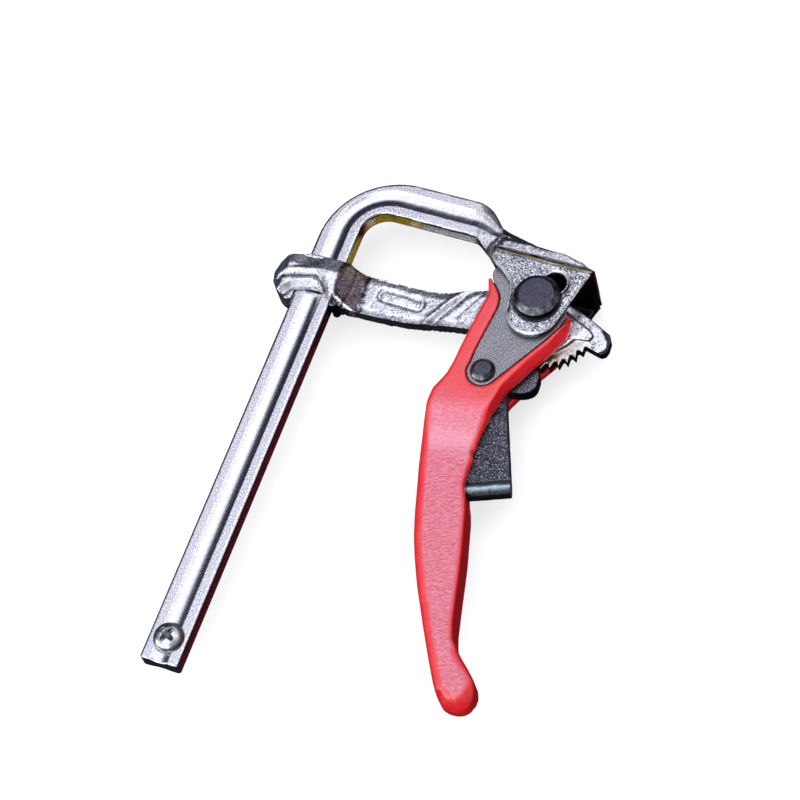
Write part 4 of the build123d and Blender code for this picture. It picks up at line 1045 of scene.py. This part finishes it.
def lathe(profile, centre, seg=128, wobble=0.0, seed=0, closed=False):
    """Turns an (r, z) profile about a Z axis. The first and last points on the axis become poles."""
    bm = bmesh.new()
    rings = []
    ang = np.linspace(0, 2 * math.pi, seg, endpoint=False)
    for r, z in profile:
        if r < 1e-6:
            rings.append([bm.verts.new((centre[0], centre[1], z))])
            continue
        k = 1.0
        if wobble:
            k = 1.0 + wobble * fbm(np.stack([np.cos(ang) * 2.5, np.sin(ang) * 2.5, np.full(seg, z * 0.8)], 1), 2, seed) / r
        k = np.broadcast_to(k, (seg,))
        rings.append([bm.verts.new((centre[0] + r * kk * math.cos(t), centre[1] + r * kk * math.sin(t), z)) for t, kk in zip(ang, k)])
    pairs = list(zip(rings[:-1], rings[1:]))
    if closed:
        pairs.append((rings[-1], rings[0]))
    for A, B in pairs:
        for i in range(seg):
            j = (i + 1) % seg
            if len(A) == 1 and len(B) == 1:
                continue
            if len(A) == 1:
                bm.faces.new((A[0], B[j], B[i]))
            elif len(B) == 1:
                bm.faces.new((A[i], A[j], B[0]))
            else:
                bm.faces.new((A[i], A[j], B[j], B[i]))
    bmesh.ops.recalc_face_normals(bm, faces=bm.faces)
    me = bpy.data.meshes.new("lathe")
    bm.to_mesh(me)
    bm.free()
    return me


def make_turned():
    main = [(0, -14.5), (3.5, -14.5), (4.0, -14.0), (4.0, 12.45), (7.7, 12.45), (7.7, 13.90), (5.75, 15.6), (0, 15.6)]
    prof = round_profile(main, {1: 0.3, 2: 0.3, 4: 0.15, 5: 0.14, 6: 0.22})
    flat = [(r, 15.6) for r in np.linspace(5.2, 0.6, 9)]
    new_piece("main_pin", lathe(prof[:-1] + flat + [prof[-1]], P, 144, 0.05, 71), "arm", OXIDE, ["pivot_pin"])
    ring = [(4.02, -13.85), (6.5, -13.85), (6.8, -13.55), (6.8, -12.75), (6.5, -12.45), (4.02, -12.45)]
    new_piece("main_pin_washer", lathe(ring, P, 96, 0.0, 0, closed=True), "arm", OXIDE, ["pivot_washer"])
    link = [(0, -10.55), (2.45, -10.55), (2.75, -10.25), (2.75, 9.28), (4.2, 9.28), (4.2, 10.05), (2.8, 11.55), (0, 11.55)]
    prof = round_profile(link, {1: 0.2, 2: 0.2, 4: 0.2, 5: 0.4, 6: 0.45})
    flat = [(r, 11.55) for r in np.linspace(2.3, 0.4, 5)]
    new_piece("lever_link_pin", lathe(prof[:-1] + flat + [prof[-1]], L, 96, 0.04, 72), "lever", OXIDE, ["link_pin"])
    ring = [(2.77, -10.18), (4.1, -10.18), (4.3, -9.98), (4.3, -9.48), (4.1, -9.28), (2.77, -9.28)]
    new_piece("lever_link_washer", lathe(ring, L, 80, 0.0, 0, closed=True), "lever", OXIDE, ["link_pin_washer"])


def make_screw():
    """Pan head with a tapered cross recess, and its threaded shank in the rail."""
    cx, cy, seat = 0.3, 8.9, 3.1
    dome_r = np.concatenate([np.linspace(0.12, 2.9, 34), np.linspace(3.0, 5.12, 16)])
    seg = 168
    ang = np.linspace(0, 2 * math.pi, seg, endpoint=False)
    bm = bmesh.new()

    def dome(r):
        return np.interp(r, [0, 1.2, 2.4, 3.4, 4.0, 4.5, 4.85, 5.12], [3.08, 3.05, 2.86, 2.46, 2.03, 1.50, 0.98, 0.42])

    def ring(r, zs):
        return [bm.verts.new((cx + r * math.cos(t), cy + r * math.sin(t), zz)) for t, zz in zip(ang, zs)]

    turn = math.radians(62)
    rings, dark = [], []
    for r in dome_r:
        u, v = r * np.cos(ang - turn), r * np.sin(ang - turn)
        wing, side = np.maximum(np.abs(u), np.abs(v)), np.minimum(np.abs(u), np.abs(v))
        half = np.interp(wing, [0, 1.1, 2.75], [1.15, 0.86, 0.58])
        across = smoothstep(half + 0.12, half - 0.20, side)
        reach = smoothstep(2.86, 2.50, wing)
        depth = np.interp(wing, [0, 1.0, 2.6], [2.3, 1.9, 1.0])
        rings.append(ring(r, seat + dome(r) - depth * across * reach))
        # painted shade inside the cross recess
        dark.append(across * reach * smoothstep(2.6, 1.5, wing))
    pole = bm.verts.new((cx, cy, seat + 3.08 - 2.3))
    dark = np.concatenate(dark + [[1.0]])
    rings.append(ring(5.2, [seat + 0.26] * seg))
    rings.append(ring(5.2, [seat + 0.10] * seg))
    rings.append(ring(5.05, [seat + 0.01] * seg))
    rings.append(ring(2.5, [seat + 0.01] * seg))
    z, k = seat, 0
    while z > -2.75:
        z -= 0.2
        k += 1
        rings.append(ring(2.5 if k % 4 in (0, 1) else 2.28, [z] * seg))
    rings.append(ring(2.2, [-2.9] * seg))
    end = bm.verts.new((cx, cy, -2.9))
    for i in range(seg):
        bm.faces.new((pole, rings[0][i], rings[0][(i + 1) % seg]))
        bm.faces.new((end, rings[-1][(i + 1) % seg], rings[-1][i]))
    for A, B in zip(rings[:-1], rings[1:]):
        for i in range(seg):
            j = (i + 1) % seg
            bm.faces.new((A[i], B[i], B[j], A[j]))
    bmesh.ops.recalc_face_normals(bm, faces=bm.faces)
    me = bpy.data.meshes.new("screw")
    bm.to_mesh(me)
    bm.free()
    amount = np.zeros(len(me.vertices), np.float32)
    amount[:len(dark)] = dark
    me.attributes.new("recess", "FLOAT", "POINT").data.foreach_set("value", amount)
    return new_piece("pan_screw", me, "frame", SCREW, ["end_screw"])


def make_spring():
    """The coil between handle and trigger."""
    ob = new_piece("trigger_coil", nodes["trigger_spring"].data.copy(), "lever", SPRING, ["trigger_spring"], scale=1.0)
    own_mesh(ob)


make_rail()
make_arm()
make_spring()
make_plate()
make_cam("cam_plate_front", "front_cam")
make_cam("cam_plate_rear", "rear_cam")
make_lever()
make_trigger()
make_pawl()
make_turned()
make_screw()

# ==============================================================================
# Stage: pale floor, soft boxes, and a studio sky that is darker low on the left
# ==============================================================================
floor_z = cad_box[0][2] - 0.00005
bm = bmesh.new()
bmesh.ops.create_grid(bm, x_segments=2, y_segments=2, size=2.5)
me = bpy.data.meshes.new("floor")
bm.to_mesh(me)
bm.free()
floor = bpy.data.objects.new("floor", me)
floor.location = (0.04, 0.09, floor_z)
scene.collection.objects.link(floor)
fm = Mat("floor_paper", Metallic=0.0, Roughness=0.9)
fb = fm.noise(40.0, 3.0, 0.5)
fm.set(Base_Color=fm.mix(fb, (0.36, 0.36, 0.365), (0.38, 0.38, 0.38)))
fm.b.inputs["Emission Color"].default_value = (1.0, 1.0, 1.0, 1.0)
fm.b.inputs["Emission Strength"].default_value = 0.66
floor.data.materials.append(fm.m)
floor.visible_glossy = False
floor.visible_diffuse = False

# Small glowing cards lie on the floor, hidden from the camera and from diffuse light, so that only polished sides
# mirror them: painted reflections, ochre and pale under the throat, red beside the rail.
def card(name, centre, size, turn, colour):
    bm = bmesh.new()
    bmesh.ops.create_grid(bm, x_segments=4, y_segments=4, size=0.5)
    me = bpy.data.meshes.new(name)
    bm.to_mesh(me)
    bm.free()
    ob = bpy.data.objects.new(name, me)
    ob.location = (centre[0] / 1000, centre[1] / 1000, floor_z + 0.0002)
    ob.scale = (size[0] / 1000, size[1] / 1000, 1.0)
    ob.rotation_euler = (0, 0, math.radians(turn))
    scene.collection.objects.link(ob)
    cm = Mat(name + "_paper", Metallic=0.0, Roughness=1.0, Base_Color=(0, 0, 0, 1))
    # the card glows, giving only painted reflections
    cm.b.inputs["Emission Color"].default_value = (*colour, 1)
    cm.b.inputs["Emission Strength"].default_value = 1.0
    ob.data.materials.append(cm.m)
    ob.visible_camera = ob.visible_diffuse = ob.visible_shadow = ob.visible_transmission = False


card("ochre_card", (14.2, 164.0), (11.0, 17.0), -12, (0.36, 0.23, 0.010))
card("pale_strip", (30.5, 168.4), (28.0, 1.0), -2, (2.4, 2.4, 2.4))
card("red_strip", (11.35, 65.0), (0.8, 126.0), 0, (0.34, 0.020, 0.030))

world = bpy.data.worlds.new("studio")
scene.world = world
world.use_nodes = True
wt = world.node_tree
wt.nodes.clear()


def wnode(kind, **props):
    n = wt.nodes.new(kind)
    for k, v in props.items():
        setattr(n, k, v)
    return n


wout, wbg = wnode("ShaderNodeOutputWorld"), wnode("ShaderNodeBackground")
wt.links.new(wbg.outputs[0], wout.inputs[0])
wtc = wnode("ShaderNodeTexCoord")
DIR = wtc.outputs["Generated"]


def toward(direction, lo, hi):
    """0 to 1 as a direction comes within a cone round the given one."""
    d = Vector(direction).normalized()
    dot = wnode("ShaderNodeVectorMath", operation="DOT_PRODUCT")
    wt.links.new(DIR, dot.inputs[0])
    dot.inputs[1].default_value = d
    r = wnode("ShaderNodeMapRange", interpolation_type="SMOOTHSTEP")
    r.inputs["From Min"].default_value = lo
    r.inputs["From Max"].default_value = hi
    wt.links.new(dot.outputs["Value"], r.inputs["Value"])
    return r.outputs[0]


def over(fac, below, colour):
    n = wnode("ShaderNodeMix", data_type="RGBA")
    wt.links.new(fac, n.inputs["Factor"])
    if isinstance(below, bpy.types.NodeSocket):
        wt.links.new(below, n.inputs[6])
    else:
        n.inputs[6].default_value = (*below, 1)
    n.inputs[7].default_value = (*colour, 1)
    return n.outputs[2]


sky = over(toward((0, 0, 1), 0.04, 0.80), (0.020, 0.022, 0.031), (0.72, 0.72, 0.77))
sky = over(toward((0.33, 0.42, -0.85), 0.90, 0.97), sky, (0.042, 0.007, 0.010))      # dark red, low right
sky = over(toward((-0.75, 0.39, -0.54), 0.90, 0.97), sky, (0.060, 0.072, 0.16))      # blue, low left
sky = over(toward((-0.20, 0.18, 0.96), 0.84, 0.97), sky, (1.52, 1.53, 1.72))         # ceiling box
sky = over(toward((-0.14, -0.42, 0.90), 0.93, 0.985), sky, (3.2, 3.2, 3.5))          # box over the near edge
sky = over(toward((0.40, 0.42, 0.82), 0.90, 0.97), sky, (1.45, 1.45, 1.52))          # box, high right
sky = over(toward((0.0, 0.40, 0.915), 0.957, 0.985), sky, (2.3, 2.3, 2.4))           # small bright box over the groove
sky = over(toward((-0.66, 0.66, 0.36), 0.845, 0.895), sky, (0.022, 0.024, 0.050))    # dark flag, low far left
sky = over(toward((0.06, -0.89, 0.46), 0.93, 0.975), sky, (2.2, 2.25, 2.28))         # front strip, in three parts
sky = over(toward((-0.45, -0.82, 0.36), 0.945, 0.98), sky, (3.2, 3.25, 3.15))
sky = over(toward((-0.84, -0.52, 0.18), 0.945, 0.98), sky, (3.2, 3.25, 3.05))
wt.links.new(sky, wbg.inputs["Color"])
wbg.inputs["Strength"].default_value = 1.0


def box_light(name, at, aim, size, watts, colour=(1, 1, 1), glossy=True):
    ld = bpy.data.lights.new(name, "AREA")
    ld.shape = "RECTANGLE"
    ld.size, ld.size_y = size
    ld.energy = watts
    ld.color = colour
    ob = bpy.data.objects.new(name, ld)
    ob.location = at
    ob.rotation_mode = "QUATERNION"
    ob.rotation_quaternion = (Vector(aim) - Vector(at)).to_track_quat("-Z", "Y")
    scene.collection.objects.link(ob)
    ob.visible_glossy = glossy
    return ob


CENTRE = (0.045, 0.095, 0.0)
box_light("left_fill", (-0.9, -0.15, 0.75), CENTRE, (0.7, 0.9), 6.0, glossy=False)
box_light("top_key", (0.0, 0.2, 1.25), CENTRE, (0.9, 0.9), 2.5, glossy=False)
box_light("right_fill", (1.0, -0.2, 0.25), CENTRE, (0.6, 0.5), 4.0, glossy=False)
box_light("front_fill", (-0.2, -1.0, 0.7), CENTRE, (1.2, 0.5), 2.0, glossy=False)
